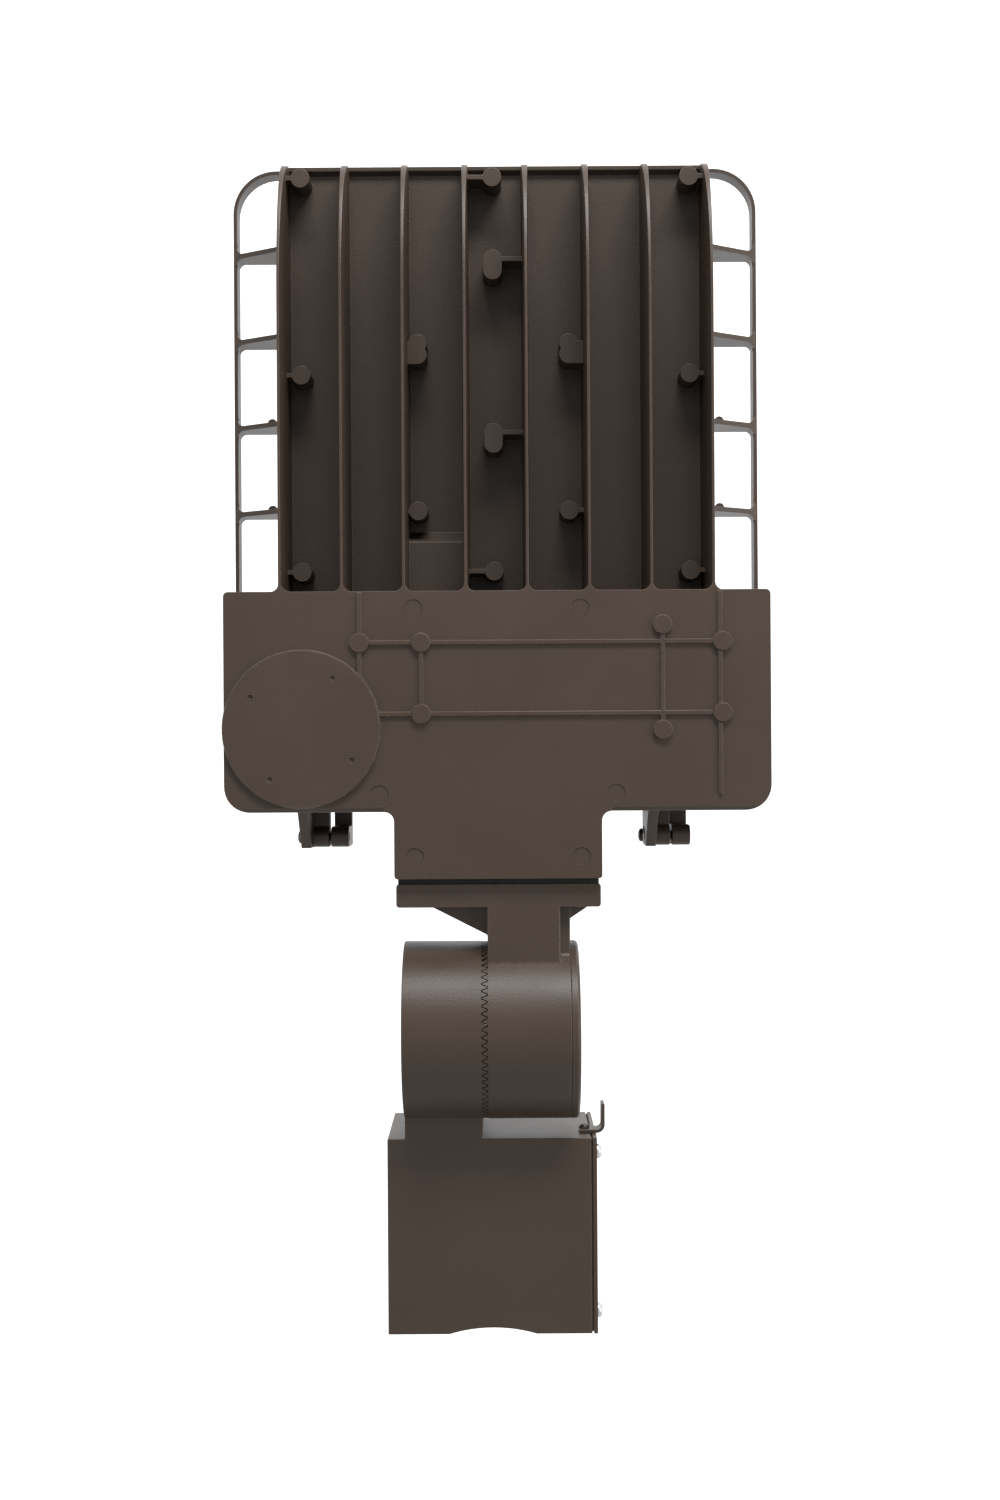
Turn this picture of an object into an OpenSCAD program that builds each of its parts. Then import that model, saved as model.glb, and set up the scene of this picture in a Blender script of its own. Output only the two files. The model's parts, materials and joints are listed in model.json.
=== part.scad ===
// Pole-mounted shoebox area light with a finned head, a hinged driver door and a toothed tilt knuckle.
// The origin is the middle of the saddle groove's floor, +Y runs away from the pole and +Z is up.

/* [Arm box] */
// Width of the arm box across the pole
box_w = 132; // [120:1:150]
// Height of the arm box
box_h = 90; // [80:1:110]
// Length of the arm box from the pole face to its end wall
box_len = 123; // [110:1:150]
// Wall of the arm box
box_wall = 4; // [3:0.5:6]
// Thickness of the wall that bolts to the pole
pole_wall = 10; // [8:0.5:14]
// Radius of the round pole that the saddle fits
saddle_r = 97; // [60:1:120]
// Depth of the saddle groove
saddle_depth = 4; // [2:0.1:5]
// Radius of the two pole bolt holes
pole_hole_r = 5.5; // [4.5:0.1:7]
// Height between the two pole bolt holes
pole_hole_gap = 56; // [50:1:64]
// Radius of the wire entry in the pole wall
wire_hole_r = 11; // [8:0.5:14]
// Thickness of the side cover
cover_t = 2.5; // [1.5:0.5:4]
// Thickness of the cover's gasket
cover_gasket_t = 1; // [0.5:0.1:2]
// Distance of the cover screws from the cover's ends
cover_screw_in = 11; // [9:0.5:16]
// Distance of the cover screws from the top and bottom of the box
cover_screw_down = 14; // [12:0.5:18]

/* [Knuckle] */
// Distance from the arm box's end wall to the tilt axis
knuckle_out = 67; // [64:1:82]
// Height of the tilt axis above the middle of the box
knuckle_z = 30; // [24:1:34]
// Outer radius of the two drums
drum_r = 56; // [50:1:58]
// Width over both drums and the end cap
knuckle_w = 110; // [100:1:120]
// Distance of the tooth line from the middle of the knuckle
tooth_x = 4; // [2:0.5:8]
// Depth of the teeth
tooth_depth = 4; // [3:0.5:5]
// Number of teeth in the ring
tooth_count = 72; // [24:24:72]
// Wall of the drums
drum_wall = 7; // [7:0.5:9]
// Thickness of the end cap
cap_t = 5.5; // [4:0.5:7]
// Radius of the knuckle bolt's shank
bolt_r = 6; // [5:0.5:7]
// Width of the knuckle bolt's head across its flats
bolt_head_af = 18; // [16:0.5:20]
// Height of the knuckle bolt's head
bolt_head_h = 7.5; // [6:0.5:9]
// Height of the knuckle nut
nut_h = 10; // [8:0.5:11]

/* [Arm plate and stem] */
// Distance of the head's middle from the box's middle
head_x = 5; // [3:0.5:7]
// Width of the arm plate
plate_w = 127; // [120:1:140]
// Thickness of the arm plate
plate_t = 14.5; // [12:0.5:18]
// Height of the arm plate and of the neck
plate_h = 52; // [48:1:56]
// Distance from the tilt axis to the back of the arm plate
plate_out = 80; // [76:1:90]
// Width of the stem's lower shoulder
shoulder_w = 6.5; // [5:0.5:8]
// Drop of the arm plate's and the stem's top below the head's top
plate_drop = 5.7; // [3:0.1:8]
// Drop of the stem's lower shoulder below its top
shoulder_drop = 7.5; // [4:0.5:9]
// Reach of the left gusset along the plate
gusset_left = 35; // [25:1:40]
// Reach of the right gusset along the plate
gusset_right = 12; // [8:1:14]

/* [Head] */
// Height of the head's top above the arm box's top
head_rise = 24; // [20:1:28]
// Depth of the head's casting
head_h = 74; // [70:1:84]
// Width of the driver box
head_w = 338; // [320:2:360]
// Length of the driver box
driver_len = 136.5; // [130:0.5:150]
// Length of the neck
neck_len = 41.5; // [38:0.5:46]
// Width of the neck
neck_w = 128.5; // [122:0.5:134]
// Thickness of the gasket between neck and arm plate
neck_gasket_t = 3.5; // [2:0.5:5]
// Wall of the casting
cast_wall = 3.2; // [2.5:0.1:4]
// Radius of the driver box's corners on the pole side
rear_corner_r = 16; // [10:1:20]
// Radius of the driver box's corners on the fin side
far_corner_r = 3; // [2:0.5:3.5]
// Chamfer along the driver box's top edge on the pole side
rear_chamfer = 2.6; // [2:0.1:6]
// Length of the finned part
fin_len = 277; // [260:1:300]
// Number of fins
fin_count = 8; // [6:2:10]
// Height of the fins
fin_h = 56; // [50:1:60]
// Thickness of a fin at its top
fin_top_t = 1.8; // [1.5:0.1:2.5]
// Thickness of a fin at its root
fin_root_t = 4.5; // [3:0.1:5.5]
// Length over which the fins curve down at the far end
fin_nose_len = 93; // [70:1:120]
// Height of the rim at the far end
rim_h = 4; // [3:0.5:10]
// Thickness of the floor between the fins
floor_t = 5; // [4:0.5:6]
// Radius of the screw posts
post_r = 6; // [5:0.1:7]
// Height of the screw posts
post_h = 22; // [18:1:26]

/* [Side frames] */
// Distance from the outer fin to the side of the head
side_bay = 32.7; // [30:0.1:40]
// Height of the side rails
rail_h = 15; // [12:1:18]
// Thickness of the side rails
rail_t = 2.4; // [2:0.1:4]
// Corner radius of the side rails
rail_corner_r = 28; // [22:1:32]
// Number of cross bars in a side frame
bar_count = 4; // [3:1:5]
// Distance from the driver box to the first cross bar
bar_first = 53; // [40:1:60]
// Distance from the last cross bar to the far rail
bar_last = 57.2; // [50:0.2:70]
// Thickness of the cross bars
bar_t = 3.2; // [2.4:0.1:4]
// Height of the cross bars at the fin
bar_h = 38; // [30:1:42]

/* [Top of the driver box] */
// Radius of the photocontrol pad
pad_r = 49; // [44:0.5:50]
// Height of the photocontrol pad
pad_rise = 3; // [2:0.5:4]
// Distance of the pad's middle from the side of the head
pad_in = 48; // [48:0.5:53]
// Distance of the pad's middle from the driver box's pole side
pad_y = 51.5; // [50:0.5:60]
// Radius of the ring of drill marks on the pad
mark_ring_r = 36.7; // [30:0.1:40]
// Radius of a drill mark
mark_r = 1.5; // [1:0.1:2]
// Radius of the round bosses
boss_r = 6; // [5:0.1:7]
// Height of the round bosses above the box
boss_rise = 2.6; // [2:0.1:3]
// Width of the ribs between the bosses
rib_w = 2.6; // [2:0.1:4]
// Height of the ribs above the box
rib_rise = 1.8; // [1:0.1:2]

/* [Optics] */
// Rows of lenses along the head
lens_rows = 9; // [6:1:10]
// Columns of lenses on each lens plate
lens_columns = 4; // [2:1:5]
// Radius of a lens dome
lens_r = 7; // [6:0.5:8]
// Thickness of a lens plate
lens_t = 2.5; // [2:0.1:3]
// Thickness of the circuit boards
board_t = 1.6; // [1:0.1:2]
// Size of an emitter
emitter_w = 5; // [3:0.5:7]
// Thickness of the lens frame
bezel_t = 3; // [2:0.5:4]
// Width of the lens frame's border
bezel_w = 22; // [21.5:0.5:24]

/* [Driver compartment] */
// Length of the driver's case
case_len = 172; // [140:1:180]
// Width of the driver's case
case_w = 68; // [60:1:76]
// Distance from the driver's tab to the side of the head
case_side = 25; // [23:0.5:30]
// Height of the driver's case
case_h = 38; // [30:1:42]
// Thickness of the driver door's panel
door_t = 3; // [2:0.5:4]
// Height of the driver door with its rim
door_h = 8; // [7:0.5:10]
// Thickness of the door's gasket
door_gasket_t = 1.5; // [1:0.1:2.5]
// Distance from the driver box's wall to the hinge axis
hinge_out = 17; // [16.5:0.5:20]
// Height of the hinge axis above the door's rim
hinge_up = 21; // [20:0.5:24]
// Radius of the hinge screws
hinge_r = 3; // [2.5:0.1:3.5]

/* [Hidden] */
$fn = 64;

// Shared clearances
overrun = 1;
run_gap = 0.05;
seat_gap = 0.3;
screw_gap = 0.4;
weld = 0.6;
thread_end = 1.5;
gasket_in = 1.2;
fillet_sink = 0.05;

// Heights of the head's planes
top_z = box_h/2 + head_rise;
floor_z = top_z - fin_h;
board_z = floor_z - floor_t;
skirt_z = top_z - head_h;
door_low_z = skirt_z - bezel_t;
door_rim_z = door_low_z + door_h;
wall_z = door_rim_z + door_gasket_t;
roof_z = top_z - cast_wall;
plate_low_z = top_z - plate_h;
plate_top_z = top_z - plate_drop;

// Places along the light
face_y = -saddle_depth;
inner_y = face_y + pole_wall;
end_y = face_y + box_len;
knuckle_y = end_y + knuckle_out;
plate_y = knuckle_y + plate_out;
gasket_y = plate_y + plate_t;
neck_y = gasket_y + neck_gasket_t;
driver_y = neck_y + neck_len;
fins_y = driver_y + driver_len;
head_end = fins_y + fin_len;
optic_y = fins_y + fin_len/2;
head_half = head_w/2;
base_half = head_half - side_bay;
fin_pitch = (2*base_half - fin_root_t)/(fin_count - 1);
bar_pitch = (fin_len - bar_first - bar_last)/(bar_count - 1);

// Arm box
box_half = box_w/2;
box_low = -box_h/2;
box_high = box_h/2;
cover_x = box_half - cover_t;
gasket_x = cover_x - cover_gasket_t;
cover_screw_z = box_high - cover_screw_down;
cover_screw_r = 2.5;
cover_head_r = 4.7;
cover_head_h = 3.6;
cover_boss_r = 5;
cover_screw_len = 14;
gasket_border = cover_screw_in + cover_boss_r + gasket_in;
earth_in = 20;
earth_y = inner_y + earth_in;
earth_r = 2;
earth_deep = 2;
earth_head_r = 4;
earth_head_h = 2.6;
arm_neck_low = 20;

// Hook on the end wall
hook_t = 2.2;
hook_w = 14;
hook_bend_r = 5.2;
hook_out = 0.6;
hook_tip = 13.4;
hook_foot = 7;
hook_z = 22;
hook_screw_r = 2;
hook_head_r = 3.4;
hook_head_h = 2.6;

// Knuckle
cup_r = drum_r - drum_wall;
left_face = -knuckle_w/2;
right_face = knuckle_w/2 - cap_t;
tooth_base = -tooth_x - tooth_depth/2;
tooth_top = -tooth_x + tooth_depth/2;
tooth_share = 0.86;
tooth_land = 0.3;
tooth_r = cup_r + tooth_land;
tooth_w = 2*PI*tooth_r/tooth_count*tooth_share;
tooth_gap = 0.2;
tooth_turn_share = 0.5;
bolt_boss_r = 17;
boss_floor = 4;
washer_t = 2.5;
washer_r = 11;
bolt_pocket = bolt_head_h + washer_t + seat_gap;
cap_pin_count = 3;
cap_pin_r = 3;
cap_pin_len = 5;
cap_pin_ring = 35;
cap_edge = 1.5;

// Stem
stem_wall = 6;
plate_corner = 2;
gusset_left_y = 18;
gusset_right_y = 8;
gusset_in = 9;
gusset_h = plate_top_z - plate_low_z - 2*gusset_in;
plate_bolt_x = 48;
plate_bolt_z = 13;
plate_bolt_r = 3;
plate_bolt_deep = 10;
plate_bolt_head_r = 5;
plate_bolt_head_h = 6;
plate_mid_z = (plate_top_z + plate_low_z)/2;
neck_wall = 5;

// Head casting
nose_steps = 14;
rim_slope = 5;
skirt_t = 4;
pocket_r = 5;
post_web = 3;
post_side_in = 13;
post_far_in = 12;
post_near_in = 15;
post_mid = -1.5;
post_mid_row = fin_len/2 - post_mid;
pillar_r = 4.2;
board_post_in = 9.45;
board_post_x = 1.5*fin_pitch - board_post_in;
centre_post_low = 96;
centre_post_far = 71;
centre_post_high = fin_len - centre_post_far;
oval_half = 3.5;
post_cap = 4;
wireway_len = 34;
wireway_slope = 8;
wireway_h = 20;
bar_fillet = 4;
bar_boss_r = 3;
bar_boss_x = 7;
bar_boss_h = 26;
bar_boss_count = 2;
side_boss_in = 67;
side_boss_x = head_half - side_boss_in;
side_boss_y = 65;
end_rib_in = 31.5;
end_rib_x = head_half - end_rib_in;
end_rib_from = 10;
pad_x = head_half - pad_in;
mark_count = 4;
mark_turn = 58;
mark_depth = 1;
eject_x = 51.5;
eject_wide_x = 73;
eject_in = 11;
eject_neck = 13.5;
eject_r = 5.5;
eject_deep = 0.25;
pad_skirt = 20;
neck_corner = 2;
neck_fillet = 6;

// Optics
emitter_h = 0.7;
emitter_gap = 1.2;
cell_r = 4;
cell_deep = 1;
lens_top_z = board_z - board_t - emitter_gap;
lens_low_z = lens_top_z - lens_t;
lens_lip = 2.5;
lens_foot = 2;
lens_seam = 0.3;
window_half = base_half - bezel_w;
window_l = fin_len - 2*bezel_w;
mullion = 8;
lens_side_in = 12.8;
lens_end_in = 4;
lens_pitch_x = (window_half + lens_lip - lens_side_in)/lens_columns;
lens_pitch_y = (window_l + 2*lens_lip - lens_end_in)/lens_rows;
first_row = fin_len/2 - (lens_rows - 1)/2*lens_pitch_y;
low_post_share = 0.73;
high_post_share = 4.54;
board_post_low = first_row + low_post_share*lens_pitch_y;
board_post_high = first_row + high_post_share*lens_pitch_y;
lens_step = 0.25;
lens_rim_in = 6;
board_seam = 0.5;
board_screw_r = 1.7;
board_head_r = 3;
board_head_h = 1;
bezel_r = 1;
frame_screw_r = 2;
frame_head_r = 3.8;
frame_head_h = 2.2;
gasket_bead = 3;

// Driver compartment
case_stand = 4;
case_tab = 12;
case_tab_in = 4;
case_tab_t = 3;
case_tab_w = case_w - 2*case_tab_in;
driver_far = 54;
driver_mid = driver_len - driver_far;
tab_hole_in = 7;
tab_hole_side = 8;
driver_hole_x = case_len + 2*tab_hole_in;
driver_hole_y = case_w - 2*case_tab_in - 2*tab_hole_side;
driver_x = head_half - case_side - case_tab - case_len/2;
driver_screw_r = 2;
driver_head_r = 3.8;
driver_head_h = 2.6;
boss_core = 6;
case_z = roof_z - case_stand;
surge_w = 34;
surge_l = 42;
surge_h = 30;
surge_tab = 14;
surge_gap = 16;
lead_boss_x = driver_x - case_len/2 - case_tab - surge_gap - surge_w/2;
terminal_w = 40;
terminal_l = 20;
terminal_h = 18;
terminal_gap = 3;
terminal_x = driver_x - case_len/2 - case_tab - terminal_gap - terminal_w/2;
terminal_y = driver_mid + driver_hole_y/2 - surge_tab/2 - surge_l - terminal_gap - terminal_l/2;
terminal_screw_x = 14;
terminal_screw_r = 1.5;
terminal_deep = 2;

// Door and its hinge
hinge_y = driver_y - hinge_out;
hinge_z = door_rim_z + hinge_up;
lug_out = 44.75;
lug_pitch = neck_w + 2*lug_out;
lug_mid = -1;
lug_t = 6.5;
lug_boss_w = 10;
lug_slit = 1.4;
lug_w = 11.5;
lug_all = lug_t + lug_boss_w + lug_slit + lug_w;
lug_end_r = 6.5;
lug_top_drop = 9;
lug_low_rise = 9;
lug_low_z = door_rim_z + lug_low_rise;
lug_corner = 6;
lug_arm_h = 7;
hinge_head_r = 4.3;
hinge_head_h = 2.8;
hinge_washer_t = 0.8;
hinge_washer_r = 5.6;
door_front = 0.5;
door_screw_side = 49;
door_screw_x = head_half - door_screw_side;
door_screw_in = 10;
door_screw_r = 2.5;
door_head_r = 5.5;
door_head_h = 3.5;
door_boss_r = 6;
door_screw_grip = 8;

bronze = "#50483F";
dark_rubber = "#1C1B1A";
zinc = "#C9CBCC";
black_steel = "#26241F";
clear_lens = "#D8E2E6";
board_white = "#E8E9E4";

// Block between two corners
module block(low, high) {
    translate(low) cube(high - low);
}

// Outline in Y and Z, drawn out along X
module along_x(x0, x1) {
    translate([x0, 0, 0]) rotate([90, 0, 90]) linear_extrude(x1 - x0) children();
}

// Outline in X and Z, drawn out along Y
module along_y(y0, y1) {
    translate([0, y1, 0]) rotate([90, 0, 0]) linear_extrude(y1 - y0) children();
}

// Round bar along X
module rod_x(x0, x1, r) {
    translate([x0, 0, 0]) rotate([0, 90, 0]) cylinder(h = x1 - x0, r = r);
}

// Round bar along Y
module rod_y(y0, y1, r) {
    translate([0, y0, 0]) rotate([-90, 0, 0]) cylinder(h = y1 - y0, r = r);
}

// Round bar along Z
module rod_z(x, y, z0, z1, r) {
    translate([x, y, z0]) cylinder(h = z1 - z0, r = r);
}

// Six-sided bar along X, measured across its flats
module hex_x(x0, x1, flats) {
    translate([x0, 0, 0]) rotate([0, 90, 0]) cylinder(h = x1 - x0, r = flats/sqrt(3), $fn = 6);
}

module on_head() {
    translate([head_x, 0, 0]) children();
}

module on_axis() {
    translate([0, knuckle_y, knuckle_z]) children();
}

// Block in plan with round vertical edges
module round_block(low, high, r) {
    block([low.x + r, low.y, low.z], [high.x - r, high.y, high.z]);
    block([low.x, low.y + r, low.z], [high.x, high.y - r, high.z]);
    for (x = [low.x + r, high.x - r], y = [low.y + r, high.y - r]) rod_z(x, y, low.z, high.z, r);
}

// Block in plan with round vertical edges, of radius r on its pole side and far_r on its far side
module box_plan(half, y0, y1, z0, z1, r, far_r) {
    block([-half, y0 + r, z0], [half, y1 - far_r, z1]);
    block([-half + r, y0, z0], [half - r, y0 + r + overrun, z1]);
    block([-half + far_r, y1 - far_r - overrun, z0], [half - far_r, y1, z1]);
    for (side = [-1, 1]) {
        rod_z(side*(half - r), y0 + r, z0, z1, r);
        if (far_r > 0) rod_z(side*(half - far_r), y1 - far_r, z0, z1, far_r);
    }
}

// Concave fillet along Z, in the corner of the planes x = 0 and y = 0, set a little into both
module corner_fillet(z0, z1, r) {
    mid = r - fillet_sink;
    difference() {
        block([-weld/2, -weld, z0], [mid, mid, z1]);
        rod_z(mid, mid, z0 - overrun, z1 + overrun, r);
    }
}

// Ring of radial teeth that point along X from the plane x = 0
module teeth(turn) {
    half = tooth_w/2;
    reach = drum_r - tooth_land;
    height = tooth_depth - tooth_gap;
    for (i = [0:tooth_count - 1])
        rotate([(i + turn)*360/tooth_count, 0, 0])
            translate([0, 0, tooth_r])
                linear_extrude(reach - tooth_r)
                    polygon([[-weld, -half], [0, -half], [height, 0], [0, half], [-weld, half]]);
}

// Places of the four cover screws
module at_cover_screws() {
    for (y = [face_y + cover_screw_in, end_y - cover_screw_in], side = [-1, 1])
        translate([0, y, side*cover_screw_z]) children();
}

// Arm box with the fixed half of the knuckle
module arm_box() {
    boss_x = gasket_x - cover_screw_len - overrun;
    color(bronze) difference() {
        union() {
            difference() {
                block([-box_half, face_y, box_low], [gasket_x, end_y, box_high]);
                block([-box_half + box_wall, inner_y, box_low + box_wall],
                    [box_half, end_y - box_wall, box_high - box_wall]);
            }
            at_cover_screws() rod_x(boss_x, gasket_x, cover_boss_r);
            for (y = [face_y + cover_screw_in, end_y - cover_screw_in], side = [0, 1])
                mirror([0, 0, side])
                    block([boss_x, y - cover_boss_r, cover_screw_z],
                        [gasket_x, y + cover_boss_r, box_high - weld]);
            on_axis() rod_x(left_face, tooth_base, drum_r);
            block([left_face, end_y - weld, -arm_neck_low], [tooth_base, knuckle_y, box_high]);
            on_axis() translate([tooth_base, 0, 0]) teeth(0);
        }
        difference() {
            on_axis() rod_x(left_face + drum_wall, right_face, cup_r);
            on_axis() rod_x(left_face, left_face + nut_h + boss_floor, bolt_boss_r);
        }
        block([left_face + drum_wall, end_y - box_wall - overrun, box_wall - arm_neck_low],
            [tooth_base - drum_wall, knuckle_y - cup_r + box_wall, box_high - box_wall]);
        on_axis() rod_x(left_face - overrun, tooth_base, bolt_r + screw_gap);
        on_axis() hex_x(left_face - overrun, left_face + nut_h, bolt_head_af + screw_gap);
        rod_z(0, -saddle_r, box_low - overrun, box_high + overrun, saddle_r);
        for (side = [-1, 1])
            translate([0, 0, side*pole_hole_gap/2]) rod_y(face_y - overrun, inner_y + overrun, pole_hole_r);
        rod_y(face_y - overrun, inner_y + overrun, wire_hole_r);
        at_cover_screws() rod_x(gasket_x - cover_screw_len, gasket_x + overrun, cover_screw_r + run_gap);
        translate([gasket_x - hook_foot/2, 0, hook_z])
            rod_y(end_y - box_wall - overrun, end_y + overrun, hook_screw_r + run_gap);
        rod_z(0, earth_y, box_low + box_wall - earth_deep, box_low + box_wall + overrun, earth_r + run_gap);
    }
}

// Sheet gasket between the arm box and its side cover
module box_cover_gasket() {
    color(dark_rubber) difference() {
        block([gasket_x, face_y + gasket_in, box_low + gasket_in],
            [cover_x, end_y - gasket_in, box_high - gasket_in]);
        block([gasket_x - overrun, face_y + gasket_border, box_low + gasket_border],
            [cover_x + overrun, end_y - gasket_border, box_high - gasket_border]);
        at_cover_screws() rod_x(gasket_x - overrun, cover_x + overrun, cover_screw_r + screw_gap);
    }
}

// Side cover of the arm box
module box_cover() {
    color(bronze) difference() {
        block([cover_x, face_y, box_low], [box_half, end_y, box_high]);
        at_cover_screws() rod_x(cover_x - overrun, box_half + overrun, cover_screw_r + screw_gap);
    }
}

module box_cover_screws() {
    color(zinc) at_cover_screws() {
        rod_x(gasket_x - cover_screw_len + overrun, box_half, cover_screw_r);
        rod_x(box_half, box_half + cover_head_h, cover_head_r);
    }
}

// Bent strap that holds the head's weight on a line while the light is wired
module hanging_hook() {
    bend_x = box_half + hook_out;
    bend_y = end_y + hook_bend_r;
    z0 = hook_z - hook_w/2;
    z1 = hook_z + hook_w/2;
    color(bronze) {
        difference() {
            block([gasket_x - hook_foot, end_y, z0], [bend_x, end_y + hook_t, z1]);
            translate([gasket_x - hook_foot/2, 0, hook_z])
                rod_y(end_y - overrun, end_y + hook_t + overrun, hook_screw_r + run_gap);
        }
        difference() {
            rod_z(bend_x, bend_y, z0, z1, hook_bend_r);
            rod_z(bend_x, bend_y, z0 - overrun, z1 + overrun, hook_bend_r - hook_t);
            block([bend_x - hook_bend_r - overrun, end_y - overrun, z0 - overrun],
                [bend_x, bend_y + hook_bend_r + overrun, z1 + overrun]);
            block([bend_x - overrun, bend_y, z0 - overrun],
                [bend_x + hook_bend_r + overrun, bend_y + hook_bend_r + overrun, z1 + overrun]);
        }
        block([bend_x + hook_bend_r - hook_t, bend_y, z0], [bend_x + hook_bend_r, bend_y + hook_tip, z1]);
    }
}

module hook_screw() {
    color(black_steel) translate([gasket_x - hook_foot/2, 0, hook_z]) {
        rod_y(end_y - box_wall, end_y + hook_t, hook_screw_r);
        rod_y(end_y + hook_t, end_y + hook_t + hook_head_h, hook_head_r);
    }
}

module earth_screw() {
    color("#3F7F4A") {
        rod_z(0, earth_y, box_low + box_wall - earth_deep + run_gap, box_low + box_wall, earth_r);
        rod_z(0, earth_y, box_low + box_wall, box_low + box_wall + earth_head_h, earth_head_r);
    }
}

module knuckle_nut() {
    color(zinc) on_axis() difference() {
        hex_x(left_face + run_gap, left_face + nut_h, bolt_head_af);
        rod_x(left_face - overrun, left_face + nut_h + overrun, bolt_r + run_gap);
    }
}

module knuckle_bolt() {
    head_in = right_face - seat_gap - bolt_head_h;
    color(zinc) on_axis() {
        rod_x(left_face + thread_end, head_in, bolt_r);
        hex_x(head_in, head_in + bolt_head_h, bolt_head_af);
    }
}

module knuckle_washer() {
    head_in = right_face - seat_gap - bolt_head_h;
    color(zinc) on_axis() difference() {
        rod_x(head_in - washer_t, head_in, washer_r);
        rod_x(head_in - washer_t - overrun, head_in + overrun, bolt_r + run_gap);
    }
}

// Places of the push pins that hold the end cap
module at_cap_pins() {
    on_axis() for (i = [0:cap_pin_count - 1])
        rotate([i*360/cap_pin_count, 0, 0]) translate([0, 0, cap_pin_ring]) children();
}

// Places of the four bolts between the arm plate and the neck
module at_plate_bolts() {
    on_head() for (x = [-plate_bolt_x, plate_bolt_x], z = [-plate_bolt_z, plate_bolt_z])
        translate([x, 0, plate_mid_z + z]) children();
}

// Way for the wires through the stem, the gasket and the neck's end wall
module wire_way(y0, y1) {
    block([tooth_top + stem_wall, y0, plate_low_z + stem_wall],
        [right_face - shoulder_w - stem_wall, y1, plate_top_z - stem_wall]);
}

// Moving half of the knuckle with its stem and the plate that carries the head
module knuckle_arm() {
    disc_x = right_face - drum_wall;
    shoulder_x = right_face - shoulder_w;
    color(bronze) difference() {
        union() {
            on_axis() rod_x(tooth_top, right_face, drum_r);
            on_axis() translate([tooth_top, 0, 0]) mirror([1, 0, 0]) teeth(tooth_turn_share);
            block([tooth_top, knuckle_y, plate_low_z], [shoulder_x, plate_y + weld, plate_top_z]);
            block([shoulder_x - weld, knuckle_y, plate_low_z],
                [right_face, plate_y + weld, plate_top_z - shoulder_drop]);
            round_block([head_x - plate_w/2, plate_y, plate_low_z],
                [head_x + plate_w/2, gasket_y, plate_top_z], plate_corner);
            translate([0, 0, plate_low_z + gusset_in]) linear_extrude(gusset_h) {
                polygon([[tooth_top + weld, plate_y + weld], [tooth_top - gusset_left, plate_y + weld],
                    [tooth_top - gusset_left, plate_y], [tooth_top, plate_y - gusset_left_y],
                    [tooth_top + weld, plate_y - gusset_left_y]]);
                polygon([[right_face - weld, plate_y + weld], [right_face + gusset_right, plate_y + weld],
                    [right_face + gusset_right, plate_y], [right_face, plate_y - gusset_right_y],
                    [right_face - weld, plate_y - gusset_right_y]]);
            }
        }
        difference() {
            on_axis() rod_x(tooth_base, disc_x, cup_r);
            on_axis() rod_x(right_face - bolt_pocket - boss_floor, right_face, bolt_boss_r);
        }
        wire_way(knuckle_y + cup_r/2, gasket_y + overrun);
        on_axis() rod_x(tooth_base, right_face, bolt_r + screw_gap);
        on_axis() rod_x(right_face - bolt_pocket, right_face + overrun, washer_r + screw_gap);
        at_cap_pins() rod_x(right_face - cap_pin_len - screw_gap, right_face + overrun, cap_pin_r + run_gap);
        at_plate_bolts() rod_y(gasket_y - plate_bolt_deep, gasket_y + overrun, plate_bolt_r + run_gap);
    }
}

// Push-on cap over the knuckle bolt
module knuckle_cap() {
    color(bronze) {
        on_axis() rotate([0, 90, 0]) rotate_extrude()
            polygon([[0, right_face], [drum_r, right_face], [drum_r, right_face + cap_t - cap_edge],
                [drum_r - cap_edge, right_face + cap_t], [0, right_face + cap_t]]);
        at_cap_pins() rod_x(right_face - cap_pin_len, right_face + weld, cap_pin_r);
    }
}

module arm_plate_bolts() {
    seat = neck_y + neck_wall;
    color(zinc) at_plate_bolts() {
        rod_y(gasket_y - plate_bolt_deep + overrun, seat, plate_bolt_r);
        rod_y(seat, seat + plate_bolt_head_h, plate_bolt_head_r);
    }
}

module neck_gasket() {
    half = plate_w/2 - gasket_in;
    color(dark_rubber) difference() {
        on_head() block([-half, gasket_y, plate_low_z + gasket_in], [half, neck_y, plate_top_z - gasket_in]);
        wire_way(gasket_y - overrun, neck_y + overrun);
        at_plate_bolts() rod_y(gasket_y - overrun, neck_y + overrun, plate_bolt_r + screw_gap);
    }
}

// Side view of the fins, with their tops curving down to the far rim
function nose_point(i) =
    [head_end - fin_nose_len + fin_nose_len*sin(90*i/nose_steps),
     floor_z + rim_h + (fin_h - rim_h)*cos(90*i/nose_steps)];

module fins() {
    half = (fin_count - 1)*fin_pitch/2;
    intersection() {
        for (i = [0:fin_count - 1])
            translate([i*fin_pitch - half, 0, floor_z])
                along_y(fins_y - weld, head_end)
                    polygon([[-fin_root_t/2, -weld], [fin_root_t/2, -weld], [fin_root_t/2, 0],
                        [fin_top_t/2, fin_h], [-fin_top_t/2, fin_h], [-fin_root_t/2, 0]]);
        along_x(-base_half - overrun, base_half + overrun)
            polygon(concat([[fins_y - overrun, floor_z - overrun], [fins_y - overrun, top_z]],
                [for (i = [0:nose_steps]) nose_point(i)], [[head_end, floor_z - overrun]]));
    }
}

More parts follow.
